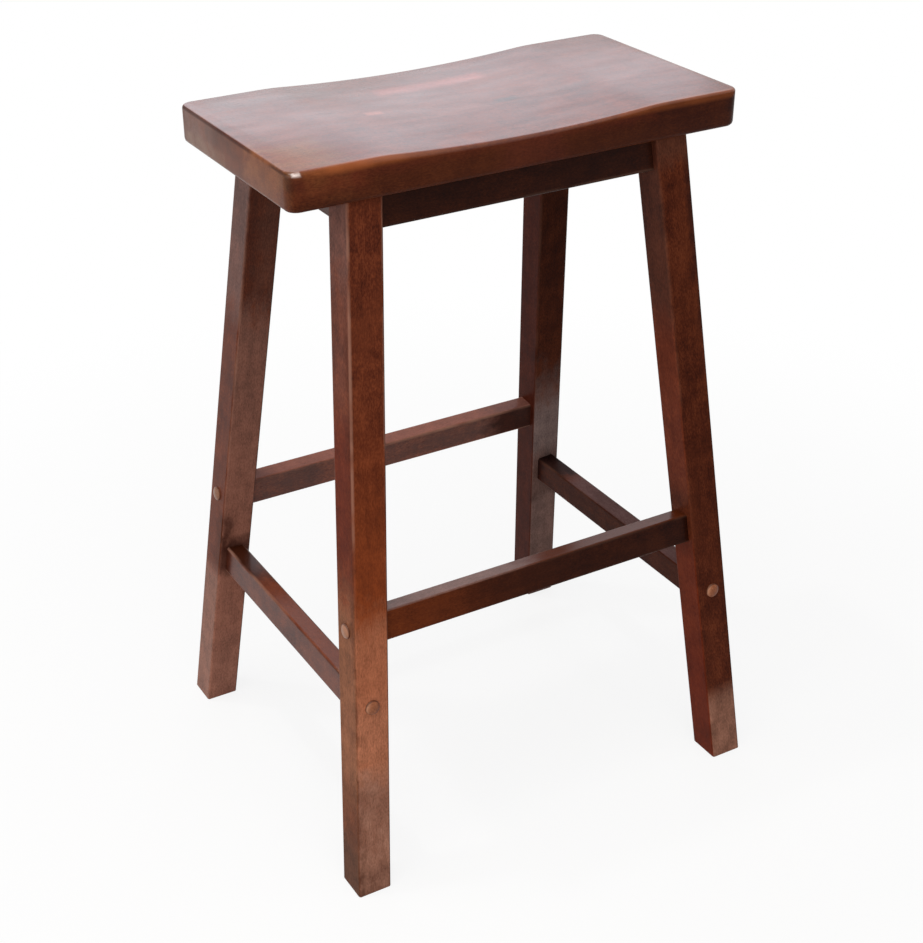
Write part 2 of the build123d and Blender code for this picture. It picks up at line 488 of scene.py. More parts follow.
class Skin:
    """The surface of a stained piece, as its finish reads it.

    along, across and high are the place on it from the piece's middle. right, back, up and front
    are how far it faces those ways of the stool. tone is how light the grain is there.
    """

    def __init__(self, graph: Graph, cut: Cut) -> None:
        """Add the coordinates, the directions and the grain to a graph.

        Args:
            graph: the material's nodes.
            cut: how the piece was cut.
        """
        self.graph = graph
        self.cut = cut
        self.place = cut.coordinates(graph)
        self.along, self.across, self.high = graph.parts(self.place)
        self.right, self.back, self.up = graph.parts(graph.node("ShaderNodeTexCoord").outputs["Normal"])
        self.front = -1 * self.back
        self.clouds, self.flecks = self.noise(CLOUDS), self.noise(FLECKS)
        self.tone = (0.34 * self.clouds.step(0.27, 0.73) + 0.12 * self.noise(BANDS).step(0.3, 0.7)
                     + 0.14 * self.noise(STREAKS).step(0.28, 0.72) + 0.40 * self.flecks.step(0.27, 0.73))

    def noise(self, figure: Figure) -> Signal:
        """Add a layer of the piece's figure."""
        return self.graph.noise(self.place, figure, self.cut.seed)

    def grained(self, colour: Colour, depth: float = 0.45) -> Socket:
        """Let the grain show in a flat colour, darker and lighter by its tone."""
        return self.graph.mix(self.tone, shaded(colour, 1 - depth), shaded(colour, 1 + depth))

    def from_arris(self) -> Signal:
        """Tell how far the place is from the nearest arris."""
        return (self.cut.half_wide - abs(self.across)) + (self.cut.half_high - abs(self.high))


@dataclass(frozen=True)
class StainedWood:
    """Close-grained hardwood under a dark stain and a satin lacquer.

    deep, body and warm are the stain where the wood took it most, over most of the piece and where
    it took it least; deep also paints shade on the round of the arrises that face right. worn is the
    colour of rubbed arrises, and also paints a highlight along them. faded_and_lit lightens tops
    that are rubbed, and fronts partly as painted light. floor_reflection is a painted reflection of
    the floor, and bloom_and_sheen_colour a pale layer, partly lacquer bloom and partly painted sheen.
    The lacquer's weight is top_coat on top and side_coat on the faces to the left and right, and it
    is rubbed off the front and the back. The spans ending in arris are distances from an arris, and
    upper_end is along the piece.
    """

    name: str
    slot: str
    deep: Colour
    body: Colour
    warm: Colour
    # Rubbed arrises, which also stand in for a painted highlight along them.
    worn: Colour
    specular: float = 0.05
    side_coat: float = 0.35
    top_coat: float = 0.32
    coat_roughness: float = 0.2
    roughness: float = 0.36
    # Lightens rubbed tops, and lightens fronts partly as painted light.
    faded_and_lit: Colour = (0.31, 0.062, 0.014)
    # Painted reflection of the pale floor.
    floor_reflection: Colour = (0.33, 0.16, 0.11)
    # A pale layer: partly lacquer bloom, partly painted sheen.
    bloom_and_sheen_colour: Colour = (0.60, 0.58, 0.57)
    # How much the arrises are painted lighter: partly wear, partly a painted highlight.
    rub_and_highlight: float = 0.75
    pore_depth: float = 0.10 * MILLIMETRE
    bare_arris: Span = millimetres(0.5, 3)
    # Where the arrises are painted lighter, from wear and from a painted highlight.
    rubbed_and_lit_arris: Span = millimetres(1.2, 3.2)
    # Where the painted shade lies on the round of arrises that face right.
    painted_shade_arris: Span = millimetres(1.5, 3)
    upper_end: Span = millimetres(-100, 120)

    def material(self, cut: Cut, suffix: str) -> bpy.types.Material:
        """Make the material of one piece.

        Args:
            cut: how the piece was cut.
            suffix: the piece's own name.

        Returns:
            The new material.
        """
        material, graph = new_material(f"{self.name}_{suffix}")
        skin = Skin(graph, cut)
        pores, uneven = skin.noise(PORES).step(0.56, 0.72), skin.noise(LACQUER)
        stain = self.aged_and_lit(skin, self.settled_and_lit(skin, self.stained(skin)))
        stain = graph.mix(0.4 * pores, stain, shaded(self.deep, cut.shade))
        graph.show({
            "Base Color": self.rub_and_light_edges(skin, stain),
            "Roughness": self.roughness + 0.16 * (uneven - 0.5) + 0.08 * pores,
            "Specular IOR Level": self.specular * (0.4 + 0.6 * cut.sheen),
            "Coat Weight": self.polish(skin, uneven), "Coat Roughness": self.coat_roughness,
            "Normal": graph.bump(0.4, self.pore_depth, 0.4 * skin.flecks - pores)})
        return material

    def stained(self, skin: Skin) -> Socket:
        """Stain the grain, more or less of it in large blotches.

        Args:
            skin: the piece's surface.

        Returns:
            The stained grain's colour.
        """
        deep, body, warm = (shaded(colour, skin.cut.shade) for colour in (self.deep, self.body, self.warm))
        stops, blotches = [(0.15, deep), (0.5, body), (0.88, warm)], skin.noise(BLOTCHES)
        stain = skin.graph.node("ShaderNodeValToRGB", {"stops": stops}, {0: skin.tone}).outputs[0]
        stain = skin.graph.mix(0.4 * blotches.step(0.46, 0.72), stain, warm)
        return skin.graph.mix(0.4 * (1 - blotches.step(0.26, 0.50)), stain, deep)

    def settled_and_lit(self, skin: Skin, stain: Socket) -> Socket:
        """Rub the stain thinner on top, where feet and hands come.

        Args:
            skin: the piece's surface.
            stain: the colour so far.

        Returns:
            The colour with what sets this wood's pieces apart.
        """
        thin = shaded(self.faded_and_lit, 0.4 + 0.6 * skin.cut.shade)
        return skin.graph.mix(0.5 * skin.up.step(0.6, 0.95), stain, thin)

    def aged_and_lit(self, skin: Skin, stain: Socket) -> Socket:
        """Lighten the front, partly paled stain and partly painted light, paint the floor's reflection
        low on it, lay a pale layer of bloom and painted sheen over the piece, and set its patches in.

        Args:
            skin: the piece's surface.
            stain: the colour so far.

        Returns:
            The colour with its front lightened, the painted reflection, the pale layer and the patches.
        """
        cut, mix, frontward = skin.cut, skin.graph.mix, skin.front.step(0.3, 0.9)
        # The front grows lighter along the piece: partly paled stain, partly painted light.
        if cut.fading_and_light:
            fade_and_light = cut.fading_and_light * skin.along.step(*cut.fading_and_light_span) * (0.25 + 0.75 * frontward)
            stain = mix(fade_and_light * (0.55 + 0.9 * skin.tone), stain, self.faded_and_lit)
        # Painted reflection of the pale floor, low on the front.
        if cut.floor_reflection:
            reflecting = cut.floor_reflection * skin.along.step(*cut.floor_reflection_span) * (0.08 + 0.92 * frontward)
            stain = mix(reflecting * (0.6 + 0.8 * skin.clouds), stain, skin.grained(self.floor_reflection))
        # A pale layer: partly lacquer bloom, partly painted sheen.
        stain = mix(cut.bloom_and_sheen, stain, self.bloom_and_sheen_colour)
        # Some patches are painted shade, shadow, sheen and a glint.
        for patch in cut.patches:
            stain = mix(patch.share(skin), stain, skin.grained(patch.colour))
        return stain

    def rub_and_light_edges(self, skin: Skin, stain: Socket) -> Socket:
        """Rub the arrises pale, partly wear and partly a painted highlight, most towards the upper end.

        Args:
            skin: the piece's surface.
            stain: the colour so far.

        Returns:
            The colour with the arrises rubbed and painted lighter, and painted shade on the round of
            those to the right.
        """
        short, patchy = skin.from_arris(), skin.noise(ARRIS_WEAR_AND_LIGHT).step(0.3, 0.6)
        # Arrises painted lighter, partly rubbed wear and partly a painted highlight, most towards the upper
        # end.
        rubbed = self.rub_and_highlight * skin.cut.wear * (1 - short.step(*self.rubbed_and_lit_arris)) * patchy
        rubbed = rubbed * (0.15 + 0.85 * skin.along.step(*self.upper_end))
        stain = skin.graph.mix(rubbed, stain, shaded(self.worn, skin.cut.shade))
        # Painted shade on the round of the arrises that face right.
        painted_shade = 0.7 * skin.right.step(0.1, 0.5) * (1 - short.step(*self.painted_shade_arris))
        return skin.graph.mix(painted_shade, stain, shaded(self.deep, skin.cut.shade))

    def polish(self, skin: Skin, uneven: Signal) -> Signal:
        """Lay the lacquer on, by the way that the surface faces.

        Args:
            skin: the piece's surface.
            uneven: a noise that makes the polish uneven.

        Returns:
            The coat's weight.
        """
        coat = self.side_coat * abs(skin.right).step(0.3, 0.9) + self.top_coat * skin.up.step(0.6, 0.97)
        kept = skin.from_arris().step(*self.bare_arris)
        return coat * (0.7 + 0.6 * uneven) * kept * skin.cut.sheen


@dataclass(frozen=True)
class StaveWood(StainedWood):
    """The same wood glued up of staves side by side, polished on its upper face.

    The front is painted in shadow, more so through shadow_grows. The lacquer is thin over the near
    left corner, less so over the far right one and the right end, and thick on the near left tip.
    The front rim is polished past rim_polished and painted orange, partly wear and partly a painted
    glow of light, most between rub_starts and rub_fades. The left end's rim is painted in shade, but
    for what is rubbed within gap_edge of gap. All spans are along, across or up the plank from its
    middle, but for rim_width, from its front edge.
    """

    stave_width: float = 53 * MILLIMETRE
    first_joint: float = 20 * MILLIMETRE
    # Painted shade on the front and along the left end's rim.
    shadow: Colour = (0.030, 0.006, 0.003)
    upper: Colour = (0.20, 0.030, 0.012)
    shadow_grows: Span = millimetres(-220, 100)
    rim_polished: Span = millimetres(-190, -130)
    near_along: Span = millimetres(-240, -145)
    near_across: Span = millimetres(-85, 5)
    far_along: Span = millimetres(0, 150)
    far_across: Span = millimetres(-30, 70)
    right_end: Span = millimetres(100, 220)
    tip_along: Span = millimetres(-230.5, -224)
    tip_across: Span = millimetres(-117, -111)
    rim_width: Span = millimetres(4, 9)
    rim_rise: Span = millimetres(4, 10)
    rub_starts: Span = millimetres(-230, -195)
    rub_fades: Span = millimetres(-200, -80)
    end_rim_along: Span = millimetres(-239.5, -237.5)
    end_rim_rise: Span = millimetres(14, 16)
    gap: float = -64 * MILLIMETRE
    gap_edge: Span = millimetres(12, 26)

    def settled_and_lit(self, skin: Skin, stain: Socket) -> Socket:
        """Give each stave its own tone and a dark joint, the top and ends their own stain, and the front
        a painted shadow.

        Args:
            skin: the plank's surface.
            stain: the colour so far.

        Returns:
            The colour of the glued-up plank.
        """
        cut, mix = skin.cut, skin.graph.mix
        counted = (skin.across - self.first_joint) * (1 / self.stave_width)
        number = counted.floor()
        drawn = skin.graph.node("ShaderNodeTexWhiteNoise", {"noise_dimensions": "1D"}, {
            "W": number + cut.seed})
        stave = Signal(skin.graph, drawn.outputs["Value"])
        stain = mix(0.3 * stave.step(0.5, 1.0), stain, self.warm)
        stain = mix(0.3 * (1 - stave.step(0.0, 0.5)), stain, self.deep)
        from_joint = abs(abs(counted - number - 0.5) - 0.5)
        line = 0.5 * (1 - from_joint.step(0.004, 0.022)) * skin.noise(GLUE_LINES).step(0.42, 0.6)
        stain = mix(line, stain, self.deep)
        stain = mix(0.5 * skin.up.step(0.8, 0.98), stain, skin.grained(self.upper, 0.6))
        stain = mix(0.25 * abs(skin.right).step(0.6, 0.95), stain, shaded(self.warm, cut.shade))
        # Painted shadow over the front, deeper towards the right.
        shadowed = skin.front.step(0.55, 0.95) * (0.36 + 0.24 * skin.along.step(*self.shadow_grows))
        return mix(shadowed, stain, self.shadow)

    def rub_and_light_edges(self, skin: Skin, stain: Socket) -> Socket:
        """Paint the top's front rim orange, partly wear and partly a painted glow, most towards the
        left, and paint shade along its end rim.

        Args:
            skin: the plank's surface.
            stain: the colour so far.

        Returns:
            The colour with the front rim rubbed and lit, and the end rim shaded.
        """
        along, across, high, cut = skin.along, skin.across, skin.high, skin.cut
        short = (across + cut.half_wide) + (cut.half_high - abs(high))
        leftward = (1 - 0.45 * along.step(*self.rub_fades)) * (0.15 + 0.85 * along.step(*self.rub_starts))
        # The front rim painted orange: partly rubbed wear, partly a painted glow of light.
        rubbed = (1 - short.step(*self.rim_width)) * high.step(*self.rim_rise) * leftward
        rubbed = rubbed * (0.5 + 0.5 * skin.noise(RIM_WEAR_AND_LIGHT).step(0.25, 0.6))
        stain = skin.graph.mix(0.85 * rubbed, stain, self.worn)
        # Painted shade along the left end's top rim, less where the rim is rubbed.
        unworn = 0.2 + 0.8 * abs(across - self.gap).step(*self.gap_edge)
        end = (1 - along.step(*self.end_rim_along)) * high.step(*self.end_rim_rise) * unworn
        return skin.graph.mix(0.75 * end, stain, self.shadow)

    def polish(self, skin: Skin, uneven: Signal) -> Signal:
        """Lay the lacquer thickest on the upper face and on the near left corner's tip.

        Args:
            skin: the plank's surface.
            uneven: a noise that makes the polish uneven.

        Returns:
            The coat's weight.
        """
        along, across = skin.along, skin.across
        front_rim = 0.9 * skin.up.step(0.2, 0.65) * skin.front.step(0.1, 0.4) * along.step(*self.rim_polished)
        near_corner = (1 - along.step(*self.near_along)) * (1 - across.step(*self.near_across))
        far_corner = along.step(*self.far_along) * across.step(*self.far_across)
        thinned = 0.5 * near_corner + 0.18 * far_corner + 0.06 * along.step(*self.right_end)
        top = self.top_coat * skin.up.step(0.78, 0.98).largest(front_rim) * (1 - thinned)
        ends = self.side_coat * skin.cut.sheen * abs(skin.right).step(0.5, 0.95)
        tip = (1 - along.step(*self.tip_along)) * (1 - across.step(*self.tip_across)) * skin.up.step(0.2, 0.5)
        return (ends + top) * (0.7 + 0.6 * uneven) + 0.7 * tip


@dataclass(frozen=True)
class TurnedWood(StainedWood):
    """The same wood turned to a dome, with painted light on one side and painted shade on the other."""

    # Painted light on the dome's left side, and painted shade on its right and under it.
    bright: Colour = (0.50, 0.25, 0.15)
    painted_shade: Colour = (0.12, 0.028, 0.010)

    def settled_and_lit(self, skin: Skin, stain: Socket) -> Socket:
        """Paint light on the dome's left side and shade on its right and under it.

        Args:
            skin: the button's surface.
            stain: the colour so far.

        Returns:
            The colour of the dome.
        """
        # How far the dome faces right, back and down, away from the left, the front and above.
        away_from_light = 0.8 * skin.right + 0.3 * skin.back - 0.3 * skin.up
        bright, painted_shade = shaded(self.bright, skin.cut.shade), shaded(self.painted_shade, skin.cut.shade)
        stain = skin.graph.mix(0.75 * away_from_light.step(-0.30, 0.15), stain, painted_shade)
        return skin.graph.mix(0.6 * (1 - away_from_light.step(-0.80, -0.45)), stain, bright)


@dataclass(frozen=True)
class RawWood:
    """Bare sawn hardwood, as on pieces that nobody sees."""

    name: str
    slot: str
    pale: Colour
    dark: Colour
    saw_depth: float = 0.2 * MILLIMETRE

    def material(self, cut: Cut, suffix: str) -> bpy.types.Material:
        """Make the material of one piece.

        Args:
            cut: how the piece was cut.
            suffix: the piece's own name.

        Returns:
            The new material.
        """
        material, graph = new_material(f"{self.name}_{suffix}")
        place = cut.coordinates(graph)
        streaks, saw_marks = (graph.noise(place, figure, cut.seed) for figure in (SAWN_GRAIN, SAW_MARKS))
        graph.show({
            "Base Color": graph.mix(streaks.step(0.3, 0.7), self.pale, self.dark),
            "Roughness": 0.72 + 0.2 * (streaks - 0.5), "Specular IOR Level": 0.3,
            "Normal": graph.bump(0.6, self.saw_depth, saw_marks + 0.5 * streaks)})
        return material


@dataclass(frozen=True)
class ZincSteel:
    """Plain zinc-plated steel, as on wood screws."""

    name: str
    slot: str
    bright: Colour
    dull: Colour

    def material(self, suffix: str) -> bpy.types.Material:
        """Make the one material of all the screws of a length.

        Args:
            suffix: the screws' own name.

        Returns:
            The new material.
        """
        material, graph = new_material(f"{self.name}_{suffix}")
        place = graph.node("ShaderNodeTexCoord").outputs["Object"]
        spangle, tarnish = graph.noise(place, SPANGLE), graph.noise(place, TARNISH)
        graph.show({
            "Base Color": graph.mix(tarnish.step(0.35, 0.65), self.bright, self.dull),
            "Metallic": 1.0, "Roughness": 0.28 + 0.3 * spangle.step(0.3, 0.7)})
        return material


# The worn colours paint the edges lighter: partly wear, and partly a painted highlight on the frame and a
# painted glow on the seat's front rim.
SEAT_WOOD = StaveWood(
    name="seat_wood", slot="seat_wood", deep=(0.050, 0.010, 0.005), body=(0.115, 0.026, 0.010),
    warm=(0.21, 0.055, 0.019), worn=(0.36, 0.10, 0.032), side_coat=0.25, top_coat=0.95)
FRAME_WOOD = StainedWood(
    name="frame_wood", slot="frame_wood", deep=(0.060, 0.012, 0.006), body=(0.130, 0.027, 0.011),
    warm=(0.24, 0.057, 0.022), worn=(0.40, 0.20, 0.14))
PLUG_WOOD = TurnedWood(
    name="plug_wood", slot="plug_wood", deep=(0.15, 0.045, 0.020), body=(0.27, 0.090, 0.040),
    warm=(0.37, 0.14, 0.068), worn=(0.42, 0.22, 0.12), specular=0.15, side_coat=0.2, top_coat=0.2,
    roughness=0.3, rub_and_highlight=0.0, pore_depth=0.05 * MILLIMETRE)
BARE_WOOD = RawWood(name="bare_wood", slot="raw_wood", pale=(0.40, 0.26, 0.13), dark=(0.27, 0.15, 0.065))
SCREW_STEEL = ZincSteel(
    name="screw_steel", slot="screw_steel", bright=(0.62, 0.60, 0.52), dull=(0.44, 0.41, 0.34))


# Modelling by hand


def hold(*pieces: bpy.types.Object) -> None:
    """Select these objects and no others, the first of them active, so that operators act on them alone.

    Args:
        pieces: the objects, or none to clear the bench for new work.
    """
    bpy.ops.object.select_all(action="DESELECT")
    for piece in pieces:
        piece.select_set(True)
    bpy.context.view_layer.objects.active = pieces[0] if pieces else None


class Modeller:
    """One mesh on the bench, shaped with Blender's own operators."""

    def __init__(self, name: str, primitive: Callable[..., set[str]], **settings: object) -> None:
        """Add a primitive to the empty bench and go into edit mode.

        Args:
            name: the new object's name.
            primitive: the operator that adds it.
            settings: what the operator is given.
        """
        hold()
        primitive(**settings)
        self.object = bpy.context.object
        self.object.name = self.object.data.name = name
        bpy.ops.object.transform_apply(location=True, rotation=True, scale=True)
        bpy.ops.object.mode_set(mode="EDIT")

    def pick(self, kind: str, wanted: Callable[[object], bool]) -> int:
        """Select the elements that pass a test, and no others.

        Args:
            kind: "verts", "edges" or "faces".
            wanted: the test of one element.

        Returns:
            How many are selected.
        """
        modes = {"verts": "VERT", "edges": "EDGE", "faces": "FACE"}
        bpy.ops.mesh.select_mode(type=modes[kind])
        bpy.ops.mesh.select_all(action="DESELECT")
        mesh = bmesh.from_edit_mesh(self.object.data)
        mesh.normal_update()
        chosen = [element for element in getattr(mesh, kind) if wanted(element)]
        for element in chosen:
            element.select_set(True)
        mesh.select_flush_mode()
        bmesh.update_edit_mesh(self.object.data)
        return len(chosen)

    def slice(self, place: tuple[float, float, float], normal: tuple[float, float, float]) -> None:
        """Cut the whole mesh along a plane, keeping both sides.

        Args:
            place: a place on the plane.
            normal: the direction square to it.
        """
        bpy.ops.mesh.select_mode(type="FACE")
        bpy.ops.mesh.select_all(action="SELECT")
        bpy.ops.mesh.bisect(plane_co=place, plane_no=normal)

    def draw(self, x: float, y: float, z: float) -> None:
        """Draw the selection out of the mesh by a distance."""
        bpy.ops.mesh.extrude_region_move(TRANSFORM_OT_translate={"value": (x, y, z)})

    def narrow(self, share: float, level: float) -> None:
        """Scale the selection's distances from the Z axis."""
        bpy.ops.transform.resize(value=(share, share, 1), center_override=(0, 0, level))

    def turn(self, radius: float, rings: Iterable[tuple[float, float]]) -> None:
        """Draw a disc out along Z in rings, as on a lathe.

        Args:
            radius: the disc's radius. It lies at the origin.
            rings: the level and the radius of each ring, in order.
        """
        level = 0.0
        for new_level, new_radius in rings:
            self.pick("faces", lambda f: len(f.verts) > 4 and abs(f.calc_center_median().z - level) < HAIR)
            self.draw(0, 0, new_level - level)
            self.narrow(new_radius / radius, new_level)
            level, radius = new_level, new_radius

    def modify(self, kind: str, **settings: object) -> None:
        """Add a modifier and apply it, between two spells in edit mode.

        Args:
            kind: the modifier's Blender type.
            settings: its properties.
        """
        bpy.ops.object.mode_set(mode="OBJECT")
        modifier = self.object.modifiers.new(kind.lower(), kind)
        for name, value in settings.items():
            setattr(modifier, name, value)
        bpy.ops.object.modifier_apply(modifier=modifier.name)
        bpy.ops.object.mode_set(mode="EDIT")

    def finish(self, smooth_angle: float = 35.0) -> bpy.types.Object:
        """Turn the faces outwards, shade them and leave the bench.

        Args:
            smooth_angle: edges sharper than this many degrees stay sharp.

        Returns:
            The finished object.
        """
        bpy.ops.mesh.select_mode(type="VERT")
        bpy.ops.mesh.select_all(action="SELECT")
        bpy.ops.mesh.remove_doubles(threshold=HAIR)
        bpy.ops.mesh.normals_make_consistent(inside=False)
        bpy.ops.object.mode_set(mode="OBJECT")
        bpy.ops.object.shade_smooth_by_angle(angle=radians(smooth_angle))
        return self.object


def dress(piece: bpy.types.Object, material: bpy.types.Material) -> None:
    """Give a piece one material all over.

    Args:
        piece: the new piece or CAD node.
        material: its material.
    """
    if not piece.material_slots:
        piece.data.materials.append(material)
    for place in piece.material_slots:
        place.material = material
    log.info("%s dressed in %s", piece.name, material.name)


def copy_to(piece: bpy.types.Object, name: str, spot: Vector, out: Vector) -> bpy.types.Object:
    """Copy a piece, with its own mesh, and lay its place in the mesh.

    Args:
        piece: the model, at the origin.
        name: the copy's name.
        spot: where its origin goes.
        out: which way its Z axis goes.

    Returns:
        The copy.
    """
    copy = piece.copy()
    copy.data = piece.data.copy()
    copy.name = copy.data.name = name
    copy.data.transform(Matrix.Translation(spot) @ out.to_track_quat("Z", "Y").to_matrix().to_4x4())
    bpy.context.scene.collection.objects.link(copy)
    return copy


def settle(piece: bpy.types.Object, slot: str, material: bpy.types.Material, node: str) -> None:
    """Dress a new piece, hide and log the CAD node that it stands for, and let it ride.

    Args:
        piece: the new piece.
        slot: the name of its material's slot, not used.
        material: its material.
        node: the CAD node that it stands for.
    """
    dress(piece, material)
    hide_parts(node)
    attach(piece, BODY)
    log.info("%s: %d faces, for %s", piece.name, len(piece.data.polygons), node)


# Sub-assemblies


@dataclass
class Seat:
    """The seat plank, dished along its length, with rounded corners and edges.

    near_round and far_round are the radii of the top edge by the near left corner and away from it,
    and the wear fades along the front over worn_length and round the corner over corner_radius. A
    face is a side where its normal's Z is under upright, and the top or underside over level.
    """

    length: float = 480 * MILLIMETRE
    depth: float = 240 * MILLIMETRE
    thickness: float = 36 * MILLIMETRE
    top: float = 737 * MILLIMETRE
    corner_radius: float = 12 * MILLIMETRE
    near_round: float = 7 * MILLIMETRE
    far_round: float = 3 * MILLIMETRE
    worn_length: float = 400 * MILLIMETRE
    bottom_round: float = 4.5 * MILLIMETRE
    dish_depth: float = 5.7 * MILLIMETRE
    dish_half_length: float = 155 * MILLIMETRE
    shoulder_radius: float = 300 * MILLIMETRE
    slices: int = 44
    end_slices: int = 4
    corner_steps: int = 8
    bottom_steps: int = 3
    top_steps: int = 6
    wear_steps: int = 24
    upright: float = 0.3
    level: float = 0.7
    shade: float = 0.95
    seed: float = 3.0
    finish: StaveWood = SEAT_WOOD

    @property
    def middle(self) -> Vector:
        """The plank's middle."""
        return Vector((0, 0, self.top - self.thickness / 2))

    def drop(self, along: float) -> float:
        """Work out how far the dish lies under the flat ends, at a distance from the middle.

        Args:
            along: the distance, either way.

        Returns:
            The depth there.
        """
        half, depth, shoulder = self.dish_half_length, self.dish_depth, self.shoulder_radius
        hollow = (half**2 + depth**2) / (2 * depth) - shoulder
        meeting = hollow * half / (hollow + shoulder)
        along = abs(along)
        if along >= half:
            return 0.0
        if along >= meeting:
            return shoulder - sqrt(shoulder**2 - (half - along) ** 2)
        return depth - hollow + sqrt(hollow**2 - along**2)

    def build(self) -> bpy.types.Object:
        """Model the plank from a box: slice it, sink the slices, then round its edges.

        Returns:
            The seat's object.
        """
        plank = Modeller("seat_plank", bpy.ops.mesh.primitive_cube_add, size=1, location=self.middle,
                         scale=(self.length, self.depth, self.thickness))
        self.sink_dish(plank)
        plank.pick("edges", self.on_corner)
        bpy.ops.mesh.bevel(offset=self.corner_radius, segments=self.corner_steps, affect="EDGES")
        plank.pick("edges", lambda e: self.on_rim(e, -1))
        bpy.ops.mesh.bevel(offset=self.bottom_round, segments=self.bottom_steps, affect="EDGES")
        self.round_top(plank)
        plank.modify("WEIGHTED_NORMAL", keep_sharp=True, weight=100)
        return plank.finish()

    def sink_dish(self, plank: Modeller) -> None:
        """Slice the plank across and sink the upper ends of the slices to the dish.

        Args:
            plank: the plank, still a box.
        """
        half, end = self.dish_half_length, self.length / 2 - self.corner_radius
        stations = [half * (2 * step / self.slices - 1) for step in range(self.slices + 1)]
        outer = [half + (end - half) * step / self.end_slices for step in range(1, self.end_slices)]
        for station in (*stations, *outer, *(-station for station in outer)):
            plank.slice((station, 0, 0), (1, 0, 0))
        for station in stations[1:-1]:
            plank.pick("verts", lambda v: abs(v.co.x - station) < HAIR and v.co.z > self.middle.z)
            bpy.ops.transform.translate(value=(0, 0, -self.drop(station)))

    def on_corner(self, edge: bmesh.types.BMEdge) -> bool:
        """Tell whether an edge is one of the plank's four upright corners."""
        first, second = (vertex.co for vertex in edge.verts)
        return abs(first.z - second.z) > self.thickness / 2 and abs(first.x) > self.length / 2 - HAIR

    def on_rim(self, edge: bmesh.types.BMEdge, side: int) -> bool:
        """Tell whether an edge joins the plank's top, side 1, or its underside, -1, to its sides."""
        facing = sorted(side * face.normal.z for face in edge.link_faces)
        return len(facing) == 2 and abs(facing[0]) < self.upright and facing[1] > self.level

    def wear(self, edge: bmesh.types.BMEdge) -> int:
        """Work out how worn an edge of the top's rim is.

        Args:
            edge: the edge.

        Returns:
            How many of the wear_steps to near_round it is rounded by.
        """
        middle = (edge.verts[0].co + edge.verts[1].co) / 2
        fresh = self.far_round / self.near_round
        front = (self.corner_radius - middle.y - self.depth / 2) / self.corner_radius
        left = 1 - (middle.x + self.length / 2) / self.worn_length
        front, left = (max(0.0, min(1.0, share)) for share in (front, left))
        return round(self.wear_steps * (fresh + (1 - fresh) * front * left))

    def round_top(self, plank: Modeller) -> None:
        """Round the top's rim, more by the near left corner, where it has been worn.

        Args:
            plank: the plank.
        """
        for level in range(1, self.wear_steps + 1):
            if plank.pick("edges", lambda e: self.on_rim(e, 1) and self.wear(e) == level):
                bpy.ops.transform.edge_bevelweight(value=level / self.wear_steps)
        plank.modify("BEVEL", width=self.near_round, segments=self.top_steps, limit_method="WEIGHT",
                     use_clamp_overlap=False)

    def patches(self) -> tuple[Patch, ...]:
        """List the patches that the stain has on the top, the left end and the front, with some painted
        sheen, reflection and a glint among them.

        Returns:
            The patches, those laid on last at the end.
        """
        through = self.thickness
        return (
            Patch((0.0, 0.063, 0), (0.058, 0.009, through), 0.014, (0.42, 0.09, 0.065), 0.6, Face.TOP),
            Patch((0.046, 0.061, 0), (0.018, 0.008, through), 0.012, (0.42, 0.10, 0.07), 0.25, Face.TOP),
            Patch((-0.092, 0.004, 0), (0.008, 0.004, through), 0.006, (0.52, 0.14, 0.09), 0.65, Face.TOP),
            Patch((0.08, -0.03, 0), (0.05, 0.010, through), 0.03, (0.05, 0.014, 0.012), 0.4, Face.TOP),
            # Painted sheen: a pale grey patch over the back left of the top.
            Patch((-0.16, 0.095, 0.018), (0.06, 0.015, 0.01), 0.04, (0.30, 0.22, 0.22), 0.28),
            Patch((0.040, -0.016, 0), (0.011, 0.003, through), 0.012, (0.02, 0.010, 0.008), 0.8, Face.TOP),
            Patch((-0.212, -0.080, 0.018), (0.024, 0.034, 0.01), 0.05, (0.36, 0.15, 0.045), 0.5),
            # Painted reflection: pale over the back of the left end and its back corner.
            Patch((-0.244, 0.072, 0), (0.005, 0.026, through), 0.03, (0.42, 0.25, 0.20), 0.4),
            Patch((-0.238, 0.118, 0), (0.010, 0.007, 0.014), 0.008, (0.24, 0.21, 0.22), 0.5),
            Patch((-0.244, 0.06, -0.010), (0.005, 0.045, 0.006), 0.012, (0.36, 0.20, 0.11), 0.35),
            Patch((-0.244, 0.022, 0.008), (0.005, 0.034, 0.006), 0.018, (0.05, 0.02, 0.012), 0.5),
            Patch((0.234, -0.118, 0), (0.006, 0.01, 0.02), 0.014, (0.02, 0.008, 0.008), 0.55, Face.FRONT),
            Patch((-0.244, -0.065, 0), (0.005, 0.03, through), 0.03, (0.36, 0.12, 0.045), 0.7),
            Patch((-0.234, -0.118, 0.008), (0.009, 0.006, 0.0075), 0.006, (0.03, 0.008, 0.005), 0.6),
            Patch((-0.2, -0.12, 0.004), (0.035, 0.02, 0.01), 0.02, (0.24, 0.045, 0.022), 0.4, Face.FRONT),
            Patch((-0.02, -0.120, 0.009), (0.16, 0.020, 0.003), 0.014, (0.18, 0.034, 0.018), 0.3, Face.FRONT),
            Patch((0.005, -0.120, -0.004), (0.03, 0.020, 0.012), 0.04, (0.17, 0.038, 0.022), 0.4, Face.FRONT),
            # A painted glint on the near left corner's rim.
            Patch((-0.2313, -0.1169, 0.0160), (0.0034, 0.0018, 0.0010), 0.0026, (0.95, 0.82, 0.78), 0.9,
                  fray=0.0),
        )

    def dress(self, seat: bpy.types.Object) -> None:
        """Give the plank its staves and let it stand for the CAD seat.

        Args:
            seat: the plank that build() made.
        """
        cut = Cut(self.middle, Vector((1, 0, 0)), Vector((0, 0, 1)), self.depth / 2, self.thickness / 2,
                  self.seed, shade=self.shade, patches=self.patches())
        settle(seat, self.finish.slot, self.finish.material(cut, "plank"), "seat")


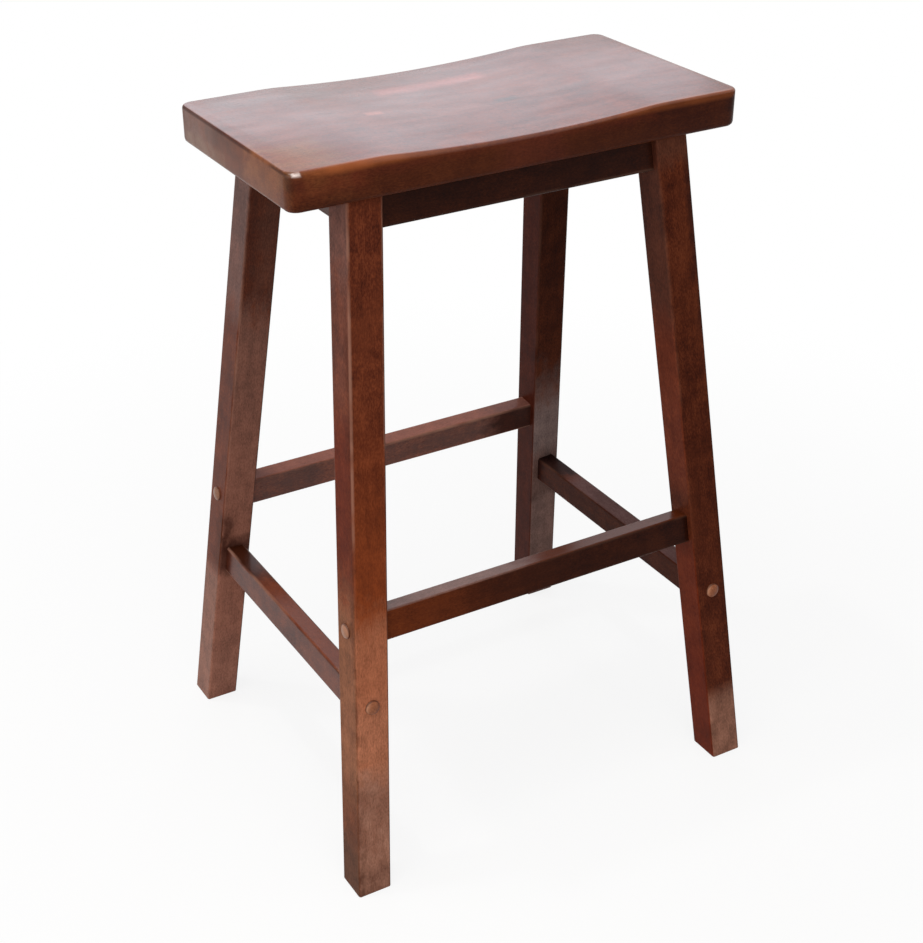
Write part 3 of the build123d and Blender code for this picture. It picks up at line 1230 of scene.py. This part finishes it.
@dataclass
class Legs:
    """The four square legs, which lean out both ways."""

    seed: float = 10.0
    seed_step: float = 3.7
    finish: StainedWood = FRAME_WOOD

    def stains(self) -> dict[Corner, dict[str, object]]:
        """List how each leg took the stain, with the painted light, shade, sheen and reflection on it.

        Returns:
            What each leg's cut is given, by its corner.
        """
        half = LEG_WIDTH / 2
        return {
            Corner.FRONT_LEFT: {
                "shade": 1.05, "fading_and_light": 0.7, "floor_reflection": 0.85, "floor_reflection_span": (-0.204, -0.216), "bloom_and_sheen": 0.006,
                "sheen": 0.0, "patches": (
                    band(Face.FRONT, -0.05, -0.22, 0.05, (0.47, 0.17, 0.09), 0.75),
                    band(Face.FRONT, -0.14, -0.22, 0.04, (0.58, 0.24, 0.14), 0.4),
                    band(Face.LEFT, 0.40, 0.15, 0.10, (0.22, 0.085, 0.06), 0.4),
                    # Painted sheen: a pale layer over the top of the left face.
                    band(Face.LEFT, 0.40, 0.28, 0.08, (0.32, 0.20, 0.18), 0.25),
                    band(Face.LEFT, 0.15, 0.00, 0.06, (0.15, 0.020, 0.007), 0.6),
                    band(Face.LEFT, -0.03, -0.25, 0.06, (0.34, 0.15, 0.080), 0.65),
                    band(Face.LEFT, -0.23, -0.40, 0.03, (0.16, 0.06, 0.03), 0.6),
                    band(Face.LEFT, -0.30, -0.40, 0.03, (0.08, 0.04, 0.025), 0.6),
                    band(Face.FRONT, -0.325, -0.40, 0.03, (0.18, 0.085, 0.06), 0.45),
                    Patch((-0.345, -half + 0.004, -half), (0.04, 0.004, 0.01), 0.014,
                          (0.09, 0.034, 0.02), 0.65, Face.FRONT),
                    Patch((0.06, -half, -half + 0.004), (0.17, 0.01, 0.004), 0.010,
                          (0.11, 0.024, 0.009), 0.5, Face.LEFT),
                    Patch((-0.23, -half, -half), (0.13, 0.0012, 0.0012), 0.003, (0.06, 0.012, 0.005), 0.75))},
            Corner.FRONT_RIGHT: {
                "shade": 0.71, "floor_reflection": 0.7, "floor_reflection_span": (-0.26, -0.29), "bloom_and_sheen": 0.003, "sheen": 0.0,
                "wear": 0.15, "patches": (
                    band(Face.LEFT, 0.40, 0.16, 0.06, (0.10, 0.036, 0.024), 0.5),
                    band(Face.LEFT, 0.17, -0.02, 0.05, (0.22, 0.044, 0.020), 0.5),
                    band(Face.LEFT, -0.08, -0.40, 0.05, (0.17, 0.025, 0.008), 0.7),
                    band(Face.LEFT, -0.21, -0.40, 0.05, (0.12, 0.015, 0.005), 0.6),
                    band(Face.FRONT, 0.08, -0.20, 0.10, (0.05, 0.010, 0.005), 0.3),
                    # Painted shade along the right arris of the front face.
                    Patch((0.24, half, -half), (0.09, 0.005, 0.012), 0.012,
                          (0.018, 0.008, 0.009), 0.7, Face.FRONT),
                    band(Face.FRONT, 0.33, 0.40, 0.03, (0.17, 0.065, 0.04), 0.5))},
            Corner.BACK_LEFT: {
                "shade": 0.82, "fading_and_light": 0.4, "floor_reflection": 0.15, "bloom_and_sheen": 0.018, "sheen": 0.2, "wear": 0.6,
                "patches": (
                    band(Face.FRONT, 0.17, -0.40, 0.06, (0.42, 0.22, 0.17), 0.42),
                    Patch((0.245, half - 0.010, -half), (0.05, 0.012, 0.01), 0.03,
                          (0.19, 0.08, 0.055), 0.5, Face.FRONT),
                    band(Face.LEFT, 0.36, 0.17, 0.06, (0.42, 0.32, 0.30), 0.18),
                    # Painted shadow of the left stretcher on the front and left faces, by its joint.
                    band(Face.FRONT, -0.118, -0.165, 0.02, (0.05, 0.015, 0.010), 0.75),
                    Patch((-0.112, -half + 0.006, -half), (0.024, 0.006, 0.01), 0.016,
                          (0.05, 0.015, 0.010), 0.7, Face.FRONT),
                    Patch((-0.12, -half, -half), (0.035, 0.01, 0.010), 0.02,
                          (0.06, 0.014, 0.005), 0.85, Face.LEFT),
                    band(Face.LEFT, -0.165, -0.40, 0.03, (0.38, 0.20, 0.15), 0.5))},
            Corner.BACK_RIGHT: {
                "shade": 0.38, "fading_and_light": 0.1, "floor_reflection": 0.2, "floor_reflection_span": (0.05, -0.25), "bloom_and_sheen": 0.003,
                "sheen": 0.0, "wear": 0.5, "patches": (
                    band(Face.LEFT, 0.36, -0.40, 0.05, (0.07, 0.012, 0.008), 0.5),
                    # Painted reflection: pale grey over the lower front face.
                    band(Face.FRONT, -0.02, -0.31, 0.08, (0.33, 0.26, 0.25), 0.30),
                    band(Face.FRONT, -0.05, -0.12, 0.03, (0.40, 0.36, 0.36), 0.18),
                    # Painted shadow on the front face by the right stretcher's joint.
                    band(Face.FRONT, -0.14, -0.19, 0.02, (0.10, 0.05, 0.04), 0.5))},
        }

    def dress(self) -> None:
        """Give each leg its own length of wood, the grain along it."""
        for number, (corner, stain) in enumerate(self.stains().items()):
            foot, top = corner.mirrored(leg_axis(0.0)), corner.mirrored(leg_axis(LEG_TOP))
            cut = Cut((foot + top) / 2, top - foot, Vector((0, 1, 0)), LEG_WIDTH / 2, LEG_WIDTH / 2,
                      self.seed + self.seed_step * number, **stain)
            name = f"leg_{corner.label}"
            dress(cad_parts[name], self.finish.material(cut, name))


@dataclass
class Rails:
    """The aprons under the seat and the stretchers between the legs, all leaning with them."""

    height: float = 32 * MILLIMETRE
    thickness: float = 20.5 * MILLIMETRE
    seed: float = 40.0
    seed_step: float = 2.9
    finish: StainedWood = FRAME_WOOD

    def stains(self) -> dict[tuple[str, Side], dict[str, object]]:
        """List how each rail took the stain, with the painted shade on it.

        Returns:
            What each rail's cut is given, by its kind and side.
        """
        return {
            ("apron", Side.FRONT): {"shade": 0.25, "bloom_and_sheen": 0.004},
            ("apron", Side.BACK): {"shade": 0.4},
            ("apron", Side.LEFT): {"shade": 0.5},
            ("apron", Side.RIGHT): {"shade": 0.4},
            ("stretcher", Side.FRONT): {
                "shade": 0.23, "fading_and_light": 0.4, "fading_and_light_span": (0.0, -0.19), "wear": 0.6, "patches": (
                    band(Face.TOP, -0.24, -0.02, 0.06, (0.34, 0.20, 0.17), 0.45),)},
            ("stretcher", Side.BACK): {
                "shade": 1.15, "bloom_and_sheen": 0.10, "sheen": 0.5, "patches": (
                    band(Face.TOP, -0.30, 0.13, 0.04, (0.42, 0.14, 0.09), 0.4),
                    # Painted shade on the front and top by the back right leg.
                    band(Face.FRONT, 0.125, 0.30, 0.03, (0.03, 0.008, 0.005), 0.85),
                    band(Face.TOP, 0.13, 0.30, 0.04, (0.14, 0.06, 0.05), 0.5))},
            ("stretcher", Side.LEFT): {
                "shade": 0.8, "sheen": 0.95, "patches": (
                    band(Face.TOP, -0.25, -0.13, 0.03, (0.40, 0.17, 0.09), 0.7),
                    # Painted shadow on the top towards the back left leg.
                    band(Face.TOP, 0.07, 0.25, 0.05, (0.03, 0.008, 0.004), 0.85),
                    band(Face.LEFT, -0.25, -0.14, 0.03, (0.17, 0.05, 0.025), 0.4),
                    # Painted shadow on the left face by the back left leg.
                    band(Face.LEFT, 0.135, 0.25, 0.02, (0.06, 0.015, 0.008), 0.85))},
            ("stretcher", Side.RIGHT): {
                "shade": 0.38, "sheen": 0.05, "wear": 0.5, "patches": (
                    band(Face.TOP, -0.25, 0.09, 0.04, (0.16, 0.10, 0.10), 0.6),
                    # Painted shade on the top, and all round, towards the back right leg.
                    band(Face.TOP, 0.09, 0.25, 0.03, (0.02, 0.012, 0.012), 0.85),
                    Patch((0.17, 0, 0), (0.035, 1, 1), 0.03, (0.015, 0.006, 0.006), 0.85))},
        }

    def dress(self) -> None:
        """Give each rail its own length of wood, the grain along it."""
        for number, ((kind, side), stain) in enumerate(self.stains().items()):
            name = f"{kind}_{side.label}"
            lean = SIDE_LEAN if side.y else END_LEAN
            along = Vector((abs(side.y), abs(side.x), 0))
            up = Vector((-side.x * sin(lean), -side.y * sin(lean), cos(lean)))
            cut = Cut(middle_of(name), along, up, self.thickness / 2, self.height / 2,
                      self.seed + self.seed_step * number, **stain)
            dress(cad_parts[name], self.finish.material(cut, name))


@dataclass
class CornerBlocks:
    """The bare blocks behind the legs, under the seat."""

    width: float = 30 * MILLIMETRE
    height: float = 26 * MILLIMETRE
    seed: float = 80.0
    seed_step: float = 1.9
    finish: RawWood = BARE_WOOD

    def dress(self) -> None:
        """Give each block sawn wood, its grain along its long side."""
        for number, corner in enumerate(Corner):
            name = f"corner_block_{corner.label}"
            cut = Cut(middle_of(name), Vector((corner.x, -corner.y, 0)), Vector((0, 0, 1)),
                      self.width / 2, self.height / 2, self.seed + self.seed_step * number)
            dress(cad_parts[name], self.finish.material(cut, name))


@dataclass
class Buttons:
    """The turned buttons over the stretcher screws.

    shades and painted_shadows are how light a button is and how dark the painted shadow round its
    base, where it isn't as the others.
    """

    radius: float = 7.8 * MILLIMETRE
    height: float = 3.6 * MILLIMETRE
    edge: float = 0.5 * MILLIMETRE
    tip_radius: float = 0.12 * MILLIMETRE
    sides: int = 48
    rings: int = 9
    stem_radius: float = 4.9 * MILLIMETRE
    stem_length: float = 7 * MILLIMETRE
    smooth_angle: float = 50.0
    # A painted shadow round the base of each button, where it meets the leg.
    rim_height: float = 1.1 * MILLIMETRE
    painted_shadow_colour: Colour = (0.05, 0.012, 0.006)
    painted_shadow_strength: float = 0.7
    painted_shadows: dict[tuple[Corner, Joint], float] = field(default_factory=lambda: {
        (Corner.BACK_LEFT, Joint.UPPER): 0.25})
    shades: dict[tuple[Corner, Joint], float] = field(default_factory=lambda: {
        (Corner.FRONT_LEFT, Joint.LOWER): 1.15, (Corner.FRONT_RIGHT, Joint.LOWER): 1.15,
        (Corner.BACK_LEFT, Joint.UPPER): 0.7})
    seed: float = 100.0
    seed_step: float = 1.3
    finish: TurnedWood = PLUG_WOOD

    def build(self) -> bpy.types.Object:
        """Turn one button from a disc: a thin edge, a low dome in rings, and a stem.

        Returns:
            The button, its seat on the leg at the origin and its dome up.
        """
        turned = Modeller("button_model", bpy.ops.mesh.primitive_circle_add, vertices=self.sides,
                          radius=self.radius, fill_type="NGON")
        angles = [(pi / 2) * ring / self.rings for ring in range(self.rings + 1)]
        levels = [self.edge + (self.height - self.edge) * sin(angle) for angle in angles]
        radii = [max(self.radius * cos(angle), self.tip_radius) for angle in angles]
        turned.turn(self.radius, zip(levels, radii))
        turned.pick("faces", lambda f: f.normal.z < -0.9 and len(f.verts) > 4)
        bpy.ops.mesh.inset(thickness=self.radius - self.stem_radius)
        turned.draw(0, 0, -self.stem_length)
        return turned.finish(self.smooth_angle)

    def place(self, model: bpy.types.Object) -> None:
        """Copy the button to both ends of all four stretchers.

        Args:
            model: the button that build() made. It goes once it has been copied.
        """
        for number, corner in enumerate(Corner):
            for joint in Joint:
                name = f"button_{corner.label}_{joint.label}"
                spot, out = corner.mirrored(joint.under_face(0.0)), corner.mirrored(joint.out)
                # A painted shadow round the button's base.
                rim = Patch((0, 0, 0), (1, 1, self.rim_height), self.rim_height, self.painted_shadow_colour,
                            self.painted_shadows.get((corner, joint), self.painted_shadow_strength), fray=0.0)
                # The grain runs up or down the leg.
                cut = Cut(spot, Vector((out.z, 0, out.x + out.y)), out, self.radius, self.radius,
                          self.seed + self.seed_step * number + spot.z,
                          shade=self.shades.get((corner, joint), 1.0), patches=(rim,))
                piece = copy_to(model, name, spot, out)
                settle(piece, self.finish.slot, self.finish.material(cut, name), "button_plugs")
        bpy.data.objects.remove(model)


@dataclass
class Screws:
    """The countersunk wood screws of one length.

    places holds, for the back right corner, where each head's top is and which way it faces.
    """

    node: str
    length: float
    places: dict[str, tuple[Vector, Vector]]
    head_radius: float = 4.2 * MILLIMETRE
    head_height: float = 2.8 * MILLIMETRE
    rim_height: float = 0.35 * MILLIMETRE
    radius: float = 2.1 * MILLIMETRE
    shank_radius: float = 1.9 * MILLIMETRE
    core_radius: float = 1.45 * MILLIMETRE
    tip_radius: float = 0.1 * MILLIMETRE
    pitch: float = 1.8 * MILLIMETRE
    root_depth: float = 0.05 * MILLIMETRE
    plain_share: float = 0.35
    point_length: float = 6 * MILLIMETRE
    sides: int = 32
    steps: int = 16
    taper_bands: int = 10
    smooth_angle: float = 30.0
    recess_width: float = 0.9 * MILLIMETRE
    recess_arm: float = 1.75 * MILLIMETRE
    recess_depth: float = 1.9 * MILLIMETRE
    recess_taper: float = 0.45
    finish: ZincSteel = SCREW_STEEL

    def build(self) -> bpy.types.Object:
        """Model one screw: its turned body, the cross in its head and its thread.

        Returns:
            The screw, its head's top at the origin, facing up.
        """
        body = self.turn_body()
        self.cut_cross(body, self.make_bit())
        hold(body, self.wind_thread())
        bpy.ops.object.join()
        return body

    def turn_body(self) -> bpy.types.Object:
        """Turn the head, the shank, the core of the thread and the point from a disc.

        Returns:
            The screw's body.
        """
        turned = Modeller(f"{self.node}_model", bpy.ops.mesh.primitive_circle_add, vertices=self.sides,
                          radius=self.head_radius, fill_type="NGON")
        plain = -self.plain_share * self.length
        turned.turn(self.head_radius, (
            (-self.rim_height, self.head_radius), (-self.head_height, self.shank_radius),
            (plain, self.shank_radius), (plain - self.pitch / 4, self.core_radius),
            (self.point_length - self.length, self.core_radius), (-self.length, self.tip_radius)))
        return turned.finish(self.smooth_angle)

    def make_bit(self) -> bpy.types.Object:
        """Model the tapered cross that the recess in the head has.

        Returns:
            The cross, its middle at the origin.
        """
        size = (self.recess_width, self.recess_width, 2 * self.recess_depth)
        bit = Modeller("screw_bit", bpy.ops.mesh.primitive_cube_add, size=1, scale=size)
        for side in Side:
            bit.pick("faces", lambda f: f.normal.x * side.x + f.normal.y * side.y > 0.9)
            bit.draw(side.x * self.recess_arm, side.y * self.recess_arm, 0)
        bit.pick("verts", lambda v: v.co.z < 0)
        bit.narrow(self.recess_taper, -self.recess_depth)
        return bit.finish(self.smooth_angle)

    def cut_cross(self, body: bpy.types.Object, bit: bpy.types.Object) -> None:
        """Cut the recess out of the head, and drop the bit.

        Args:
            body: the screw's body.
            bit: the cross that is cut out of it.
        """
        hold(body)
        recess = body.modifiers.new("recess", "BOOLEAN")
        recess.operation, recess.solver, recess.object = "DIFFERENCE", "EXACT", bit
        bpy.ops.object.modifier_apply(modifier=recess.name)
        bpy.data.objects.remove(bit)

    def wind_thread(self) -> bpy.types.Object:
        """Sweep a three-sided ridge round the core and taper it over the point.

        Returns:
            The thread.
        """
        root = self.core_radius - self.root_depth
        # A triangle of equal sides is one and a half times as high as the radius round it.
        ridge = (self.radius - root) / 1.5
        start = (root + ridge / 2, 0, self.pitch - self.length)
        turns = int((self.length * (1 - self.plain_share) - self.pitch) / self.pitch)
        wound = Modeller("screw_thread", bpy.ops.mesh.primitive_circle_add, vertices=3, radius=ridge,
                         fill_type="NOTHING", location=start, rotation=(pi / 2, pi / 2, 0))
        wound.modify("SCREW", angle=2 * pi, screw_offset=self.pitch, iterations=turns,
                     steps=self.steps, render_steps=self.steps, use_smooth_shade=False)
        bpy.ops.mesh.select_mode(type="EDGE")
        bpy.ops.mesh.select_all(action="SELECT")
        bpy.ops.mesh.fill_holes(sides=3)
        shoulder = self.point_length - self.length
        band_height = self.point_length / self.taper_bands
        for number in range(self.taper_bands):
            low = shoulder - (number + 1) * band_height
            wound.pick("verts", lambda v: low <= v.co.z < low + band_height)
            wound.narrow(1 - (number + 0.5) / self.taper_bands, low)
        return wound.finish(self.smooth_angle)

    def place(self, model: bpy.types.Object) -> None:
        """Copy the screw to its places at every corner.

        Args:
            model: the screw that build() made. It goes once it has been copied.
        """
        steel = self.finish.material(self.node)
        for corner in Corner:
            for kind, (spot, out) in self.places.items():
                name = f"{self.node}_{corner.label}_{kind}"
                piece = copy_to(model, name, corner.mirrored(spot), corner.mirrored(out))
                settle(piece, self.finish.slot, steel, self.node)
        bpy.data.objects.remove(model)


SOCKET_DEPTH = 10 * MILLIMETRE
# The heads of the block and seat screws lie in the corner blocks, at the CAD model's places.
SCREWS = (
    Screws("stretcher_screws", 63 * MILLIMETRE, {
        joint.label: (joint.under_face(SOCKET_DEPTH), joint.out) for joint in Joint}),
    Screws("block_screws", 30 * MILLIMETRE, {
        "long": (Vector(millimetres(111.82, 74.79, 688.84)), -Joint.LOWER.out),
        "end": (Vector(millimetres(140.58, 46.06, 688.52)), -Joint.UPPER.out)}),
    Screws("seat_screws", 40 * MILLIMETRE, {
        "up": (Vector(millimetres(133.82, 68.06, 681)), Vector((0, 0, -1)))}),
)


# Studio


@dataclass
class Camera:
    """The camera at the photograph's viewpoint, fitted to the stool's edges.

    right and down are the picture's own directions, and centre_x and centre_y the pixel on the
    camera's axis.
    """

    place: Vector = field(default_factory=lambda: Vector(millimetres(-808.68, -1364.10, 1210.89)))
    right: Vector = field(default_factory=lambda: Vector((0.87081, -0.4915, -0.01038)))
    down: Vector = field(default_factory=lambda: Vector((-0.26172, -0.44561, -0.85612)))
    focal_pixels: float = 1684.46
    image_width: float = 923
    image_height: float = 943
    centre_x: float = 420.45
    centre_y: float = 530.67
    sensor: float = 36.0
    nearest: float = 0.05
    farthest: float = 100.0

    def build(self) -> None:
        """Make the scene's camera."""
        data = bpy.data.cameras.new("photograph")
        long_side = max(self.image_width, self.image_height)
        data.sensor_fit, data.sensor_width = "AUTO", self.sensor
        data.lens = self.focal_pixels / long_side * self.sensor
        data.shift_x = (self.image_width / 2 - self.centre_x) / long_side
        data.shift_y = (self.centre_y - self.image_height / 2) / long_side
        data.clip_start, data.clip_end = self.nearest, self.farthest
        camera = bpy.data.objects.new("photograph", data)
        right = self.right.normalized()
        up = -(self.down - self.down.dot(right) * right).normalized()
        turn = Matrix((right, up, right.cross(up))).transposed().to_4x4()
        camera.matrix_world = Matrix.Translation(self.place) @ turn
        bpy.context.scene.collection.objects.link(camera)
        bpy.context.scene.camera = camera


@dataclass(frozen=True)
class Softbox:
    """One area lamp: how it stands to the stool, its size and how bright its face is.

    face_power is the power that Blender needs for a square metre of a face of brightness 1.
    """

    name: str
    place: tuple[float, float, float]
    aim: tuple[float, float, float]
    width: float
    height: float
    brightness: float
    colour: Colour
    face_power: float = 4.0

    def build(self) -> None:
        """Hang the lamp, out of the camera's sight."""
        data = bpy.data.lights.new(self.name, "AREA")
        data.shape, data.size, data.size_y = "RECTANGLE", self.width, self.height
        data.energy = self.brightness * self.face_power * self.width * self.height
        data.color = self.colour
        lamp = bpy.data.objects.new(self.name, data)
        out = Vector(self.aim) - Vector(self.place)
        lamp.matrix_world = Matrix.Translation(self.place) @ out.to_track_quat("-Z", "Y").to_matrix().to_4x4()
        lamp.visible_camera = False
        bpy.context.scene.collection.objects.link(lamp)


@dataclass
class Studio:
    """A plain pale floor under soft light, white to the camera.

    To the light the floor is floor_colour, and beyond_colour past paper_edge. The camera and gloss
    see it white instead: shown_colour, which keeps the shadow, under a share glow of plain white,
    all of it past the edge. The world is white to the camera, gleam in gloss, and lights the stool
    by ambient.
    """

    floor_size: float = 60.0
    floor_colour: Colour = (0.75, 0.74, 0.72)
    beyond_colour: Colour = (0.2, 0.2, 0.2)
    paper_edge: Span = (0.5, 1.3)
    shown_colour: Colour = (0.95, 0.95, 0.95)
    glow: float = 0.85
    ambient: float = 0.16
    gleam: float = 0.8
    lamps: tuple[Softbox, ...] = (
        Softbox("window", (0.9, 2.9, 2.55), (0, 0, 0.73), 3.4, 2.6, 0.78, (0.82, 0.9, 1.04)),
        Softbox("overhead", (-0.4, -0.5, 3.2), (0, 0, 0.4), 2.2, 2.2, 2.4, (1.0, 0.97, 0.93)),
        Softbox("left", (-3.2, 0.4, 1.75), (0, 0, 0.4), 4.4, 3.3, 0.90, (1.0, 0.98, 0.96)),
        Softbox("front", (-1.2, -3.4, 1.6), (0, 0, 0.35), 4.6, 3.1, 0.80, (1.0, 0.97, 0.93)),
        Softbox("spark", (-0.84, 0.53, 3.24), (-0.2, -0.1, 0.7), 0.15, 0.15, 110.0, (1.0, 1.0, 1.0)),
    )

    def build(self) -> None:
        """Lay the floor, hang the lamps and set the world."""
        self.lay_floor()
        for lamp in self.lamps:
            lamp.build()
            log.info("lamp %s hung", lamp.name)
        self.set_world()
        bpy.context.scene.view_settings.view_transform = "Standard"

    def lay_floor(self) -> None:
        """Lay the floor, which keeps the stool's shadow."""
        hold()
        bpy.ops.mesh.primitive_plane_add(size=self.floor_size)
        floor = bpy.context.object
        floor.name = "floor"
        material, graph = new_material("floor_paper")
        place = graph.node("ShaderNodeTexCoord").outputs["Object"]
        away = graph.node("ShaderNodeVectorMath", {"operation": "LENGTH"}, {0: place}).outputs["Value"]
        beyond = Signal(graph, away).step(*self.paper_edge)
        paper = graph.mix(beyond, self.floor_colour, self.beyond_colour)
        dull = graph.node("ShaderNodeBsdfDiffuse", {}, {"Color": paper})
        pale = graph.node("ShaderNodeBsdfDiffuse", {}, {"Color": (*self.shown_colour, 1.0)})
        white = graph.node("ShaderNodeEmission", {}, {"Strength": 1.0})
        glowing = self.glow + (1 - self.glow) * beyond
        shown = graph.node("ShaderNodeMixShader", {}, {0: glowing, 1: pale.outputs[0], 2: white.outputs[0]})
        surface = graph.node("ShaderNodeMixShader", {}, {
            0: self.seen(graph), 1: dull.outputs[0], 2: shown.outputs[0]})
        graph.node("ShaderNodeOutputMaterial", {}, {"Surface": surface.outputs[0]})
        dress(floor, material)

    def set_world(self) -> None:
        """Set the world, white to the camera and dim in the light that it gives."""
        world = bpy.data.worlds.new("studio")
        world.use_nodes = True
        bpy.context.scene.world = world
        graph = Graph(world.node_tree)
        camera = Signal(graph, graph.node("ShaderNodeLightPath").outputs["Is Camera Ray"])
        strength = self.ambient + (self.gleam - self.ambient) * self.seen(graph) + (1 - self.gleam) * camera
        air = graph.node("ShaderNodeBackground", {}, {"Color": (1, 1, 1, 1), "Strength": strength})
        graph.node("ShaderNodeOutputWorld", {}, {"Surface": air.outputs[0]})

    def seen(self, graph: Graph) -> Signal:
        """Tell the rays that come from the camera, or by way of a gloss or glass, from the others.

        Args:
            graph: the nodes of the floor or the world.

        Returns:
            1 for those rays, else 0.
        """
        rays = graph.node("ShaderNodeLightPath").outputs
        camera, glossy, through = (Signal(graph, rays[name]) for name in (
            "Is Camera Ray", "Is Glossy Ray", "Is Transmission Ray"))
        return camera.largest(glossy).largest(through)


def main() -> None:
    """Build the stool's pieces in order, then the studio round them."""
    logging.basicConfig(level=logging.INFO, format="%(name)s: %(message)s")
    seat = Seat()
    seat.dress(seat.build())
    Legs().dress()
    Rails().dress()
    CornerBlocks().dress()
    buttons = Buttons()
    buttons.place(buttons.build())
    for screws in SCREWS:
        screws.place(screws.build())
    Studio().build()
    Camera().build()


if __name__ == "__main__":
    main()
